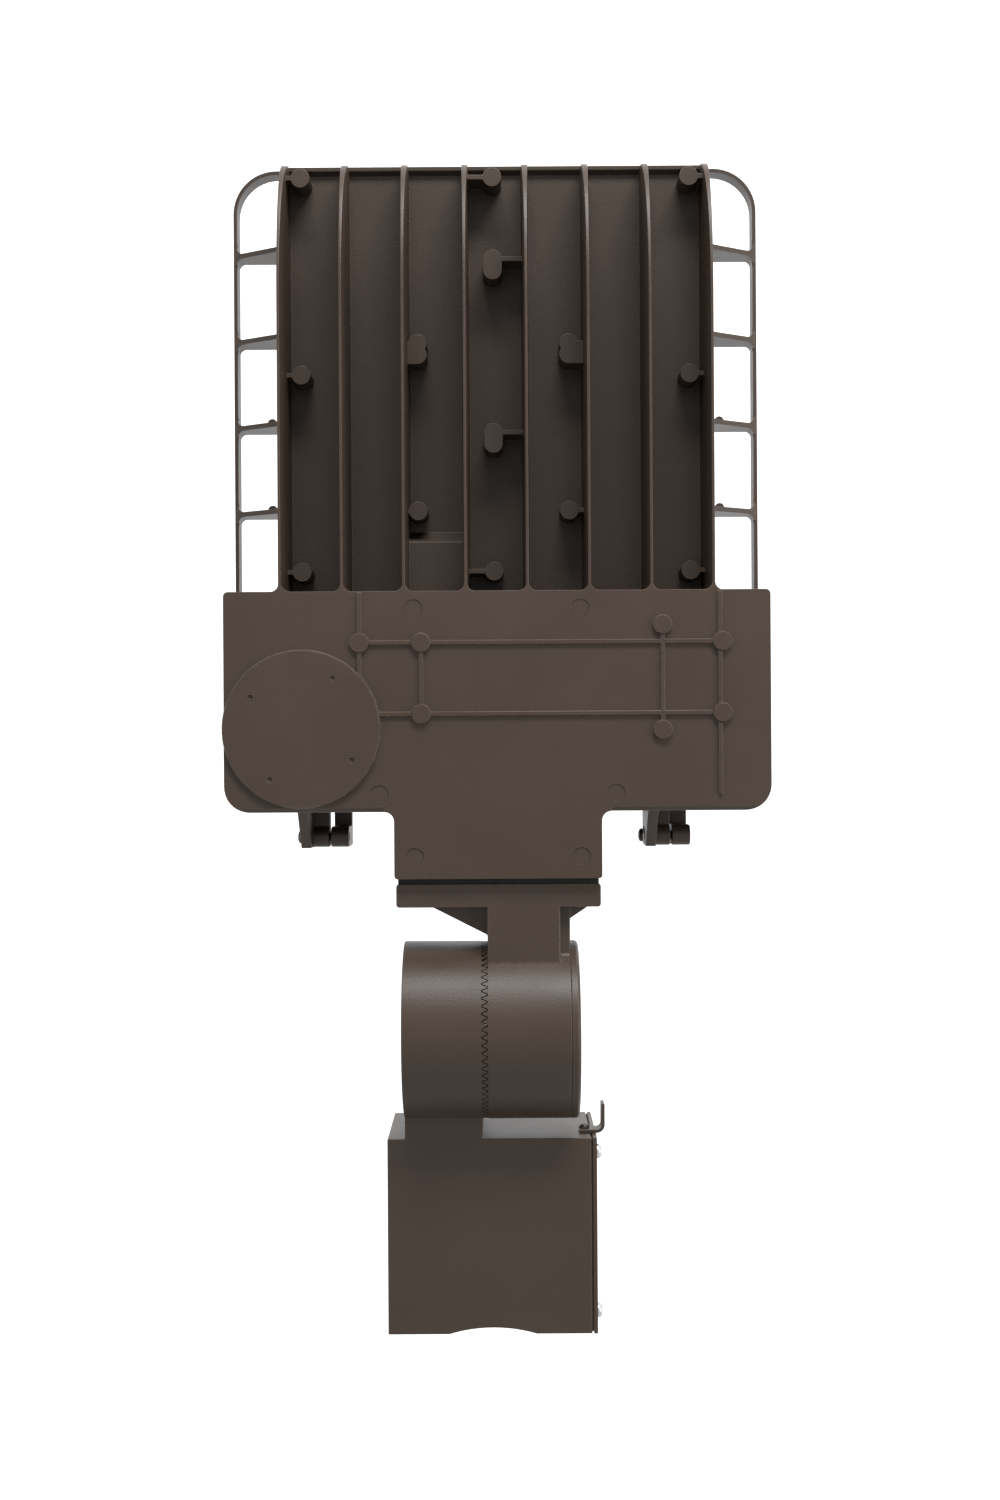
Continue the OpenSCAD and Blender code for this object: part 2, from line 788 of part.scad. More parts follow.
// Concave fillets that lean with the fins' sides where they meet the driver box
module pocket_fillets() {
    half = (fin_count - 1)*fin_pitch/2;
    lean = atan((fin_root_t - fin_top_t)/2/fin_h);
    intersection() {
        block([-head_half, fins_y - weld, floor_z - weld], [head_half, fins_y + pocket_r + overrun, top_z]);
        for (i = [0:fin_count - 1], side = [0, 1])
            translate([i*fin_pitch - half, fins_y, floor_z]) mirror([side, 0, 0])
                translate([fin_root_t/2, 0, 0]) rotate([0, -lean, 0])
                    corner_fillet(-overrun, fin_h + overrun, pocket_r);
    }
    for (side = [0, 1])
        mirror([side, 0, 0]) translate([base_half, fins_y, 0]) corner_fillet(wall_z, floor_z, pocket_r);
}

// Places of the eight lens frame screws and their posts
module at_frame_posts() {
    side = base_half - post_side_in;
    rows = [fins_y + post_near_in, fins_y + post_mid_row, head_end - post_far_in];
    for (x = [-side, side], y = rows) translate([x, y, 0]) children();
    for (y = [rows[0], rows[2]]) translate([post_mid, y, 0]) children();
}

// Places of the six board screws
module at_board_screws() {
    for (x = [-board_post_x, board_post_x], y = [board_post_low, board_post_high])
        translate([post_mid + x, fins_y + y, 0]) children();
    for (y = [centre_post_low, centre_post_high]) translate([post_mid, fins_y + y, 0]) children();
}

// Screw posts in the pockets, each tied to a fin by a web
module posts() {
    high = floor_z + post_h;
    low = floor_z - weld;
    half = post_web/2;
    side = base_half - post_side_in;
    rows = [fins_y + post_near_in, fins_y + post_mid_row, head_end - post_far_in];
    at_frame_posts() rod_z(0, 0, low, high, post_r);
    at_board_screws() rod_z(0, 0, low, high, post_r);
    for (y = rows, x = [-1, 1])
        mirror([x > 0 ? 0 : 1, 0, 0])
            block([side, y - half, low], [base_half - fin_root_t/2, y + half, high]);
    for (y = [rows[0], rows[2]])
        block([-fin_pitch/2, y - half, low], [post_mid, y + half, high]);
    for (x = [-1, 1]) {
        px = post_mid + x*board_post_x;
        fin_x = x*1.5*fin_pitch;
        block([min(px, fin_x), fins_y + board_post_low - half, low],
            [max(px, fin_x), fins_y + board_post_low + half, high]);
        block([min(px, fin_x), fins_y + board_post_high - post_r, low],
            [max(px, fin_x), fins_y + board_post_high + 2*oval_half + half, high]);
        rod_z(px, fins_y + board_post_high + 2*oval_half, low, high, post_r);
    }
    for (y = [centre_post_low, centre_post_high]) {
        block([post_mid - post_r, fins_y + y, low], [post_mid + post_r, fins_y + y + 2*oval_half, high]);
        rod_z(post_mid, fins_y + y + 2*oval_half, low, high, post_r);
        block([post_mid, fins_y + y + 2*oval_half - half, low],
            [fin_pitch/2, fins_y + y + 2*oval_half + half, high]);
    }
}

// Covered way for the leads, between the third and fourth fins
module wireway() {
    end = fins_y + wireway_len;
    along_x(-1.5*fin_pitch, -fin_pitch/2)
        polygon([[fins_y - weld, floor_z - weld], [fins_y - weld, floor_z + wireway_h],
            [end, floor_z + wireway_h], [end + wireway_slope, floor_z],
            [end + wireway_slope, floor_z - weld]]);
}

// Ladder-like frame beside the fins, drawn for the +X side
module side_frame() {
    low = skirt_z;
    high = skirt_z + rail_h;
    far = head_end;
    corner_x = head_half - rail_corner_r;
    corner_y = far - rail_corner_r;
    inner_x = head_half - rail_t;
    block([inner_x, fins_y, low], [head_half, corner_y, high]);
    block([inner_x, fins_y - far_corner_r - weld, wall_z], [head_half, fins_y + weld, high]);
    translate([inner_x, fins_y, 0]) mirror([1, 0, 0]) corner_fillet(wall_z, high, bar_fillet);
    block([base_half - weld, far - rail_t, low], [corner_x, far, high]);
    difference() {
        rod_z(corner_x, corner_y, low, high, rail_corner_r);
        rod_z(corner_x, corner_y, low - overrun, high + overrun, rail_corner_r - rail_t);
        block([corner_x - rail_corner_r - overrun, corner_y - rail_corner_r - overrun, low - overrun],
            [corner_x, far + overrun, high + overrun]);
        block([corner_x - overrun, corner_y - rail_corner_r - overrun, low - overrun],
            [head_half + overrun, corner_y, high + overrun]);
    }
    for (i = [0:bar_count - 1]) {
        y = fins_y + bar_first + i*bar_pitch;
        difference() {
            along_y(y - bar_fillet, y + bar_t + bar_fillet)
                polygon([[base_half - fin_root_t/2, low], [head_half - rail_t/2, low],
                    [head_half - rail_t/2, high], [base_half - fin_root_t/2, low + bar_h]]);
            for (side = [0, 1])
                translate([0, y + side*bar_t, 0]) mirror([0, 1 - side, 0])
                    round_block([base_half - fillet_sink, 0, low - overrun],
                        [inner_x + fillet_sink, 3*bar_fillet, low + bar_h + overrun], bar_fillet);
        }
        if (i < bar_boss_count)
            rod_z(base_half + bar_boss_x, y + bar_t, low, low + bar_boss_h, bar_boss_r);
    }
}

// Places of the round bosses on the driver box, from its pole side
module at_driver_screws() {
    for (x = [-driver_hole_x/2, driver_hole_x/2], y = [-driver_hole_y/2, driver_hole_y/2])
        translate([driver_x + x, driver_y + driver_mid + y, 0]) children();
}

// Bosses, ribs and photocontrol pad on top of the driver box
module top_details() {
    low = top_z - weld;
    half = rib_w/2;
    lead_y = driver_y + driver_mid + driver_hole_y/2;
    near_y = driver_y + driver_mid - driver_hole_y/2;
    left_x = driver_x - driver_hole_x/2;
    right_x = driver_x + driver_hole_x/2;
    rib_z = top_z + rib_rise;
    at_driver_screws() rod_z(0, 0, low, top_z + boss_rise, boss_r);
    rod_z(lead_boss_x, lead_y, low, top_z + boss_rise, boss_r);
    for (y = [-side_boss_y/2, side_boss_y/2])
        rod_z(side_boss_x, driver_y + driver_mid + y, low, top_z + boss_rise, boss_r);
    block([lead_boss_x, lead_y - half, low], [right_x, lead_y + half, rib_z]);
    block([-pad_x, near_y - half, low], [right_x, near_y + half, rib_z]);
    block([lead_boss_x - half, driver_y + pad_y, low], [lead_boss_x + half, fins_y - weld, rib_z]);
    block([left_x - half, near_y, low], [left_x + half, lead_y, rib_z]);
    block([side_boss_x - half, driver_y + driver_mid - side_boss_y/2, low],
        [side_boss_x + half, driver_y + driver_mid + side_boss_y/2, rib_z]);
    block([end_rib_x - half, driver_y + end_rib_from, low], [end_rib_x + half, fins_y - weld, rib_z]);
    difference() {
        rod_z(-pad_x, driver_y + pad_y, top_z - pad_skirt, top_z + pad_rise, pad_r);
        box_plan(head_half - weld, driver_y + weld, fins_y, top_z - pad_skirt - overrun, top_z - weld,
            rear_corner_r, far_corner_r);
    }
}

// Places of the shallow marks that the ejector pins of the casting die leave on its top
module at_eject_marks() {
    for (side = [-1, 1]) {
        translate([side*eject_x, fins_y - eject_in, 0]) children();
        translate([side*eject_wide_x, driver_y + eject_in, 0]) children();
        translate([side*eject_x, neck_y + eject_neck, 0]) children();
    }
}

// Places of the two hinges, with x = 0 at the left end of each
module at_hinges() {
    for (side = [-1, 1])
        on_head() translate([lug_mid + side*lug_pitch/2 - lug_all/2, 0, 0]) children();
}

// Fixed half of a hinge: a sloping lug and a boss for the hinge screw
module housing_lug() {
    tip = hinge_y - lug_end_r;
    root = driver_y + weld;
    high = top_z - lug_top_drop;
    along_x(0, lug_t)
        polygon([[root, lug_low_z], [tip + lug_corner/2, lug_low_z], [tip, lug_low_z + lug_corner/2],
            [tip, high - (driver_y - tip)], [driver_y, high], [root, high]]);
    along_x(lug_t - weld, lug_t + lug_boss_w)
        polygon([[root, lug_low_z], [tip, lug_low_z], [tip, hinge_z], [root, hinge_z]]);
    translate([0, hinge_y, hinge_z]) rod_x(lug_t - weld, lug_t + lug_boss_w, lug_end_r);
}

// Moving half of a hinge: an arm that rises from the door's rim to the hinge screw
module door_lug() {
    x0 = lug_all - lug_w;
    tip = hinge_y - lug_end_r;
    translate([0, hinge_y, hinge_z]) rod_x(x0, lug_all, lug_end_r);
    block([x0, tip, door_low_z + seat_gap], [lug_all, hinge_y + lug_end_r, hinge_z]);
    block([x0, tip, door_low_z + seat_gap], [lug_all, driver_y + cast_wall/2, door_low_z + lug_arm_h]);
}

// One casting: fins, floor, side frames, driver box and neck
module head_housing() {
    color(bronze) difference() {
        union() {
            on_head() difference() {
                union() {
                    box_plan(head_half, driver_y, fins_y, wall_z, top_z, rear_corner_r, far_corner_r);
                    round_block([-neck_w/2, neck_y, plate_low_z],
                        [neck_w/2, driver_y + rear_corner_r, top_z], neck_corner);
                    for (side = [0, 1])
                        mirror([side, 0, 0]) translate([neck_w/2, driver_y, plate_low_z]) difference() {
                            translate([-weld, -neck_fillet, 0])
                                cube([neck_fillet + weld, neck_fillet + weld, plate_h]);
                            rod_z(neck_fillet, -neck_fillet, -overrun, plate_h + overrun, neck_fillet);
                        }
                }
                box_plan(head_half - cast_wall, driver_y + cast_wall, fins_y - cast_wall,
                    wall_z - overrun, roof_z, rear_corner_r - cast_wall, 0);
                block([-neck_w/2 + cast_wall, neck_y + neck_wall, plate_low_z + cast_wall],
                    [neck_w/2 - cast_wall, driver_y + rear_corner_r, roof_z]);
                for (side = [0, 1])
                    mirror([side, 0, 0])
                        along_x(neck_w/2 + neck_fillet, head_half + overrun)
                            polygon([[driver_y - overrun, top_z - rear_chamfer - overrun],
                                [driver_y + rear_chamfer + overrun, top_z + overrun],
                                [driver_y - overrun, top_z + overrun]]);
            }
            on_head() {
                block([-base_half, fins_y - weld, board_z], [base_half, head_end, floor_z]);
                difference() {
                    block([-base_half, fins_y, skirt_z], [base_half, head_end, board_z + weld]);
                    block([-base_half + skirt_t, fins_y + skirt_t, skirt_z - overrun],
                        [base_half - skirt_t, head_end - skirt_t, board_z + overrun]);
                }
                along_x(-base_half, base_half)
                    polygon([[head_end, floor_z - weld], [head_end, floor_z + rim_h],
                        [head_end - rim_slope/2, floor_z + rim_h], [head_end - rim_slope, floor_z],
                        [head_end - rim_slope, floor_z - weld]]);
                fins();
                pocket_fillets();
                posts();
                at_frame_posts() rod_z(0, 0, skirt_z, board_z + weld, pillar_r);
                wireway();
                side_frame();
                mirror([1, 0, 0]) side_frame();
                top_details();
                at_driver_screws() rod_z(0, 0, case_z, roof_z + weld, boss_r);
                rod_z(lead_boss_x, driver_y + driver_mid + driver_hole_y/2, case_z, roof_z + weld, boss_r);
                for (x = [-door_screw_x, door_screw_x]) {
                    rod_z(x, fins_y - door_screw_in, wall_z, roof_z + weld, door_boss_r);
                    block([x - door_boss_r/2, fins_y - door_screw_in, wall_z],
                        [x + door_boss_r/2, fins_y - cast_wall/2, roof_z + weld]);
                }
            }
            at_hinges() housing_lug();
        }
        wire_way(neck_y - overrun, neck_y + neck_wall + overrun);
        at_plate_bolts() rod_y(neck_y - overrun, neck_y + neck_wall + overrun, plate_bolt_r + screw_gap);
        at_hinges() translate([-overrun, hinge_y, hinge_z])
            rod_x(0, lug_t + lug_boss_w + 2*overrun, hinge_r + run_gap);
        on_head() {
            at_frame_posts() rod_z(0, 0, skirt_z - overrun, floor_z + post_h - post_cap,
                frame_screw_r + run_gap);
            at_board_screws() rod_z(0, 0, board_z - overrun, floor_z + post_h - post_cap,
                board_screw_r + run_gap);
            at_driver_screws() rod_z(0, 0, case_z - overrun, case_z + boss_core, driver_screw_r + run_gap);
            rod_z(lead_boss_x, driver_y + driver_mid + driver_hole_y/2, case_z - overrun,
                case_z + boss_core, driver_screw_r + run_gap);
            for (x = [-door_screw_x, door_screw_x])
                rod_z(x, fins_y - door_screw_in, wall_z - overrun, wall_z + door_screw_grip + overrun,
                    door_screw_r + run_gap);
            for (x = [-terminal_screw_x, terminal_screw_x])
                rod_z(terminal_x + x, driver_y + terminal_y, roof_z - overrun, roof_z + terminal_deep,
                    terminal_screw_r + run_gap);
            at_eject_marks() rod_z(0, 0, top_z - eject_deep, top_z + overrun, eject_r);
            for (i = [0:mark_count - 1])
                translate([-pad_x, driver_y + pad_y, 0]) rotate([0, 0, mark_turn + i*360/mark_count])
                    rod_z(mark_ring_r, 0, top_z + pad_rise - mark_depth, top_z + pad_rise + overrun, mark_r);
        }
    }
}

// Places of the lenses on the plate to the +X side, and of the emitters over them
module at_lenses() {
    mid_x = (window_half + lens_lip)/2;
    for (i = [0:lens_columns - 1], k = [0:lens_rows - 1])
        translate([mid_x + (i - (lens_columns - 1)/2)*lens_pitch_x,
                fins_y + first_row + k*lens_pitch_y, 0])
            children();
}

// Aluminium circuit board, drawn for the +X side
module led_board(gap) {
    difference() {
        block([gap, optic_y - window_l/2, board_z - board_t],
            [window_half + lens_lip - seat_gap, optic_y + window_l/2, board_z]);
        children();
    }
}

module led_board_left() {
    color(board_white) on_head() mirror([1, 0, 0]) led_board(board_seam - post_mid)
        mirror([1, 0, 0]) at_board_screws()
            rod_z(0, 0, board_z - board_t - overrun, board_z + overrun, board_screw_r + screw_gap);
}

module led_board_right() {
    color(board_white) on_head() led_board(board_seam + post_mid)
        at_board_screws()
            rod_z(0, 0, board_z - board_t - overrun, board_z + overrun, board_screw_r + screw_gap);
}

// Emitters, drawn for the +X side
module emitters() {
    half = emitter_w/2;
    low = board_z - board_t - emitter_h;
    at_lenses() block([-half, -half, low], [half, half, board_z - board_t]);
}

module led_emitters_left() {
    color("#F2D64B") on_head() mirror([1, 0, 0]) emitters();
}

module led_emitters_right() {
    color("#F2D64B") on_head() emitters();
}

module board_screws() {
    seat = board_z - board_t;
    color(zinc) on_head() at_board_screws() {
        rod_z(0, 0, seat, floor_z + post_h - post_cap - overrun, board_screw_r);
        rod_z(0, 0, seat - board_head_h, seat, board_head_r);
    }
}

// Moulded lens plate, drawn for the +X side
module lens_plate() {
    x1 = window_half + lens_lip;
    y0 = optic_y - window_l/2 - lens_lip;
    y1 = optic_y + window_l/2 + lens_lip;
    foot_z = board_z - board_t;
    difference() {
        union() {
            block([lens_seam, y0, lens_low_z], [x1, y1, lens_top_z]);
            difference() {
                block([lens_rim_in, y0, lens_low_z], [x1, y1, foot_z]);
                block([0, y0 + lens_foot + lens_lip, lens_top_z - lens_step],
                    [x1 - lens_foot - lens_lip, y1 - lens_foot - lens_lip, foot_z + overrun]);
            }
            intersection() {
                at_lenses() translate([0, 0, lens_low_z]) sphere(lens_r);
                block([0, y0, lens_low_z - lens_r - overrun], [x1, y1, lens_top_z]);
            }
        }
        at_lenses() rod_z(0, 0, lens_top_z - cell_deep, lens_top_z + lens_step, cell_r);
    }
}

module lens_plate_left() {
    color(clear_lens, 0.5) on_head() mirror([1, 0, 0]) lens_plate();
}

module lens_plate_right() {
    color(clear_lens, 0.5) on_head() lens_plate();
}

module lens_gasket() {
    x1 = window_half + lens_lip;
    y1 = window_l/2 + lens_lip;
    color(dark_rubber) on_head() difference() {
        block([-x1, optic_y - y1, skirt_z], [x1, optic_y + y1, lens_low_z]);
        for (side = [0, 1])
            mirror([side, 0, 0])
                block([mullion/2, optic_y - y1 + gasket_bead, skirt_z - overrun],
                    [x1 - gasket_bead, optic_y + y1 - gasket_bead, lens_low_z + overrun]);
    }
}

module lens_frame() {
    color(bronze) on_head() difference() {
        block([-base_half, fins_y, skirt_z - bezel_t], [base_half, head_end, skirt_z]);
        for (side = [0, 1])
            mirror([side, 0, 0])
                round_block([mullion/2, optic_y - window_l/2, skirt_z - bezel_t - overrun],
                    [window_half, optic_y + window_l/2, skirt_z + overrun], bezel_r);
        at_frame_posts()
            rod_z(0, 0, skirt_z - bezel_t - overrun, skirt_z + overrun, frame_screw_r + screw_gap);
    }
}

module lens_frame_screws() {
    seat = skirt_z - bezel_t;
    color(zinc) on_head() at_frame_posts() {
        rod_z(0, 0, seat, floor_z + post_h - post_cap - overrun, frame_screw_r);
        rod_z(0, 0, seat - frame_head_h, seat, frame_head_r);
    }
}

module led_driver() {
    mid = driver_y + driver_mid;
    half = case_len/2;
    color("#D5D6D4") on_head() difference() {
        union() {
            block([driver_x - half, mid - case_w/2, case_z - case_h],
                [driver_x + half, mid + case_w/2, case_z]);
            block([driver_x - half - case_tab, mid - case_tab_w/2, case_z - case_tab_t],
                [driver_x + half + case_tab, mid + case_tab_w/2, case_z]);
        }
        at_driver_screws()
            rod_z(0, 0, case_z - case_tab_t - overrun, case_z + overrun, driver_screw_r + screw_gap);
    }
}

module driver_screws() {
    seat = case_z - case_tab_t;
    color(zinc) on_head() at_driver_screws() {
        rod_z(0, 0, seat, case_z + boss_core - overrun, driver_screw_r);
        rod_z(0, 0, seat - driver_head_h, seat, driver_head_r);
    }
}

module surge_protector() {
    tab_y = driver_y + driver_mid + driver_hole_y/2;
    edge = tab_y - surge_tab/2;
    color("#23262B") on_head() difference() {
        union() {
            block([lead_boss_x - surge_w/2, edge - surge_l, case_z - surge_h],
                [lead_boss_x + surge_w/2, edge, case_z]);
            block([lead_boss_x - surge_tab/2, edge - weld, case_z - case_tab_t],
                [lead_boss_x + surge_tab/2, tab_y + surge_tab/2, case_z]);
        }
        rod_z(lead_boss_x, tab_y, case_z - case_tab_t - overrun, case_z + overrun,
            driver_screw_r + screw_gap);
    }
}

module surge_screw() {
    seat = case_z - case_tab_t;
    color(zinc) on_head() translate([lead_boss_x, driver_y + driver_mid + driver_hole_y/2, 0]) {
        rod_z(0, 0, seat, case_z + boss_core - overrun, driver_screw_r);
        rod_z(0, 0, seat - driver_head_h, seat, driver_head_r);
    }
}

module terminal_block() {
    y = driver_y + terminal_y;
    color("#DAD7C9") on_head() difference() {
        block([terminal_x - terminal_w/2, y - terminal_l/2, roof_z - terminal_h],
            [terminal_x + terminal_w/2, y + terminal_l/2, roof_z]);
        for (x = [-terminal_screw_x, terminal_screw_x])
            rod_z(terminal_x + x, y, roof_z - terminal_h - overrun, roof_z + overrun,
                terminal_screw_r + screw_gap);
    }
}

module terminal_screws() {
    seat = roof_z - terminal_h;
    color(zinc) on_head() for (x = [-terminal_screw_x, terminal_screw_x])
        translate([terminal_x + x, driver_y + terminal_y, 0]) {
            rod_z(0, 0, seat, roof_z + terminal_deep - run_gap, terminal_screw_r);
            rod_z(0, 0, seat - driver_head_h, seat, 2*terminal_screw_r);
        }
}

// Hinged door under the driver box
module driver_door() {
    color(bronze) difference() {
        union() {
            on_head() difference() {
                box_plan(head_half, driver_y, fins_y - door_front, door_low_z, door_rim_z,
                    rear_corner_r, far_corner_r);
                box_plan(head_half - cast_wall, driver_y + cast_wall, fins_y - door_front - cast_wall,
                    door_low_z + door_t, door_rim_z + overrun, rear_corner_r - cast_wall, 0);
            }
            on_head() for (x = [-door_screw_x, door_screw_x])
                rod_z(x, fins_y - door_screw_in, door_low_z + door_t - weld, door_rim_z, door_boss_r);
            at_hinges() door_lug();
        }
        on_head() for (x = [-door_screw_x, door_screw_x])
            rod_z(x, fins_y - door_screw_in, door_low_z - overrun, door_rim_z + overrun,
                door_screw_r + screw_gap);
        at_hinges() translate([0, hinge_y, hinge_z])
            rod_x(lug_all - lug_w - overrun, lug_all + overrun, hinge_r + run_gap);
    }
}

module door_gasket() {
    color(dark_rubber) on_head() difference() {
        box_plan(head_half - gasket_in/2, driver_y + gasket_in/2, fins_y - door_front - gasket_in/2,
            door_rim_z, wall_z, rear_corner_r, far_corner_r);
        box_plan(head_half - cast_wall, driver_y + cast_wall, fins_y - door_front - cast_wall,
            door_rim_z - overrun, wall_z + overrun, rear_corner_r - cast_wall, 0);
    }
}

module hinge_screws() {
    seat = -hinge_washer_t;
    color(black_steel) at_hinges() translate([0, hinge_y, hinge_z]) {
        rod_x(seat, lug_all - thread_end, hinge_r);
        rod_x(seat - hinge_head_h, seat, hinge_head_r);
    }
}

module hinge_washers() {
    color(zinc) at_hinges() translate([0, hinge_y, hinge_z]) difference() {
        rod_x(-hinge_washer_t, 0, hinge_washer_r);
        rod_x(-hinge_washer_t - overrun, overrun, hinge_r + run_gap);
    }
}

// Captive screw of the driver door, drawn for either side
module door_screw(x) {
    color(zinc) on_head() translate([x, fins_y - door_screw_in, 0]) {
        rod_z(0, 0, door_low_z, wall_z + door_screw_grip, door_screw_r);
        rod_z(0, 0, door_low_z - door_head_h, door_low_z, door_head_r);
    }
}

module door_screw_left() {
    door_screw(-door_screw_x);
}

module door_screw_right() {
    door_screw(door_screw_x);
}

arm_box();
box_cover_gasket();
box_cover();
box_cover_screws();
hanging_hook();
hook_screw();
earth_screw();
knuckle_nut();
knuckle_bolt();
knuckle_washer();
knuckle_arm();
knuckle_cap();
arm_plate_bolts();
neck_gasket();
head_housing();
led_board_left();
led_board_right();
led_emitters_left();
led_emitters_right();
board_screws();
lens_plate_left();
lens_plate_right();
lens_gasket();
lens_frame();
lens_frame_screws();
led_driver();
driver_screws();
surge_protector();
surge_screw();
terminal_block();
terminal_screws();
driver_door();
door_gasket();
hinge_screws();
hinge_washers();
door_screw_left();
door_screw_right();
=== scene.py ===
import json
import math
import bmesh
import bpy
from mathutils import Matrix, Vector
from mathutils.geometry import delaunay_2d_cdt

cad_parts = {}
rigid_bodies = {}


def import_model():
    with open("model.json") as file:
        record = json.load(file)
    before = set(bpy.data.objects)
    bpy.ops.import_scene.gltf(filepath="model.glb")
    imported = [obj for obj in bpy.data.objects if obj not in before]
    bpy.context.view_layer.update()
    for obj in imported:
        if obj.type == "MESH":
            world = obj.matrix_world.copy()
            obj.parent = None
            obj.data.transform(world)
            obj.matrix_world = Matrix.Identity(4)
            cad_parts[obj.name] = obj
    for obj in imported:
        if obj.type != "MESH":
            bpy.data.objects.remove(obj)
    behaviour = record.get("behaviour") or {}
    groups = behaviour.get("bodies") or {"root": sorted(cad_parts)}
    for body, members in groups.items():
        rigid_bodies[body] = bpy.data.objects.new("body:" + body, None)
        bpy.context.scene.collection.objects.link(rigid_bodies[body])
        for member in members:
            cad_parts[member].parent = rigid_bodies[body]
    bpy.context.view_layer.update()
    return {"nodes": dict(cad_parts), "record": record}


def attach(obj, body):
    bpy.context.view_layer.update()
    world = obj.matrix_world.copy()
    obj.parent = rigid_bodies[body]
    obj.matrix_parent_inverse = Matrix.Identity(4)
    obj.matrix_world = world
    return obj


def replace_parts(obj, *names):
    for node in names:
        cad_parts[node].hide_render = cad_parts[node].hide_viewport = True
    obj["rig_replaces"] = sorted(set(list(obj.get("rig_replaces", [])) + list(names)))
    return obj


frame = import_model()
nodes = frame["nodes"]
record = frame["record"]
bodyOf = {n: body for body, names in record["behaviour"]["bodies"].items() for n in names}
slotOf = {s["node"]: s["material_slot"] for s in record["subparts"]}
mm = 0.001  # sizes and places below are in mm
print("frame loaded")


# Selecting, editing and finishing
def deselectAll():
    active = bpy.context.view_layer.objects.active
    if active and active.mode != "OBJECT":
        bpy.ops.object.mode_set(mode="OBJECT")
    bpy.ops.object.select_all(action="DESELECT")


def makeActive(piece):
    deselectAll()
    piece.select_set(True)
    bpy.context.view_layer.objects.active = piece


def openMesh(piece, mode="VERT"):
    makeActive(piece)
    bpy.ops.object.mode_set(mode="EDIT")
    bpy.ops.mesh.select_mode(type=mode)
    bpy.ops.mesh.select_all(action="DESELECT")


def closeMesh():
    bpy.ops.object.mode_set(mode="OBJECT")


def pickFaces(piece, test):
    bm = bmesh.from_edit_mesh(piece.data)
    for face in bm.faces:
        face.select_set(bool(test(face)))
    bmesh.update_edit_mesh(piece.data)


def pickEdges(piece, test):
    bm = bmesh.from_edit_mesh(piece.data)
    for edge in bm.edges:
        edge.select_set(bool(test(edge)))
    bmesh.update_edit_mesh(piece.data)


def applyAll(piece):
    makeActive(piece)
    for modifier in list(piece.modifiers):
        bpy.ops.object.modifier_apply(modifier=modifier.name)


def settle(piece, name):
    makeActive(piece)
    bpy.ops.object.transform_apply(location=True, rotation=True, scale=True)
    piece.name = name
    piece.data.name = name
    return piece


def smooth(piece, angle=32, weighted=True):
    makeActive(piece)
    bpy.ops.object.shade_smooth_by_angle(angle=math.radians(angle))
    if weighted:
        modifier = piece.modifiers.new("flatNormals", "WEIGHTED_NORMAL")
        modifier.keep_sharp = True
        modifier.weight = 80
        applyAll(piece)


def paint(piece, material):
    piece.data.materials.clear()
    piece.data.materials.append(material)
    return piece


def finishPiece(piece, node, stands=True):
    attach(piece, bodyOf[node])
    if stands:
        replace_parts(piece, node)
    return piece


# The flat regions of a mesh in edit mode, each with its faces and the loops of edges around it
def flatRegions(bm, limit):
    seen = set()
    for seed in bm.faces:
        if seed in seen:
            continue
        seen.add(seed)
        region, stack = [], [seed]
        while stack:
            face = stack.pop()
            region.append(face)
            for edge in face.edges:
                if len(edge.link_faces) == 2 and edge.calc_face_angle(1) < limit:
                    for other in edge.link_faces:
                        if other not in seen:
                            seen.add(other)
                            stack.append(other)
        if len(region) < 6:
            continue
        rim = {edge for face in region for edge in face.edges if edge.calc_face_angle(1) >= limit}
        loops = []
        while rim:
            loop, stack = [], [rim.pop()]
            while stack:
                edge = stack.pop()
                loop.append(edge)
                near = {other for corner in edge.verts for other in corner.link_edges if other in rim}
                rim -= near
                stack.extend(near)
            loops.append(loop)
        yield region, loops


def spanOf(points, axis):
    along = [point.dot(axis) for point in points]
    return min(along), max(along)


# The line through a hole that meets the edges around it most squarely
def bestCut(normal, hole, rim):
    axes = sorted(Matrix.Identity(3), key=lambda axis: abs(axis.dot(normal)))
    best = (-1, None, 0)
    corners = [corner.co for edge in hole for corner in edge.verts]
    for axis in axes[:2]:
        axis = (axis - normal * axis.dot(normal)).normalized()
        low, high = spanOf(corners, axis)
        for share in (0.5, 0.39, 0.62, 0.27, 0.74):
            place = low + share * (high - low)
            worst = 1
            for edge in rim:
                first, second = (corner.co.dot(axis) - place for corner in edge.verts)
                if first * second > 0:
                    continue
                length = edge.calc_length()
                square = abs(first - second) / length
                spare = min(abs(first), abs(second)) / max(square, 0.01)
                worst = min(worst, square * (0.3 if length > 0.0015 and spare < 0.0010 else 1))
            if worst > best[0] + 0.02:
                best = (worst, axis, place)
    return best[1:]


# Cuts each flat region that has holes from hole to rim, so that its faces stay simple when merged
def cutHoles(piece, limit):
    openMesh(piece, "FACE")
    bm = bmesh.from_edit_mesh(piece.data)
    layer = bm.faces.layers.int.new("region")
    cuts = []
    for number, (region, loops) in enumerate(flatRegions(bm, limit), 1):
        if len(loops) < 2:
            continue
        for face in region:
            face[layer] = number
        normal = region[0].normal.copy()
        loops.sort(key=lambda loop: -sum(edge.calc_length() for edge in loop))
        rim = [edge for loop in loops for edge in loop]
        cuts.extend((number, *bestCut(normal, hole, rim)) for hole in loops[1:])
    for number, axis, place in cuts:
        bm = bmesh.from_edit_mesh(piece.data)
        layer = bm.faces.layers.int["region"]
        for face in bm.faces:
            face.select_set(face[layer] == number)
        bmesh.update_edit_mesh(piece.data)
        bpy.ops.mesh.bisect(plane_co=axis * place, plane_no=axis, threshold=0.00005)
        bpy.ops.mesh.mark_seam(clear=False)
        bpy.ops.mesh.select_all(action="DESELECT")
    closeMesh()


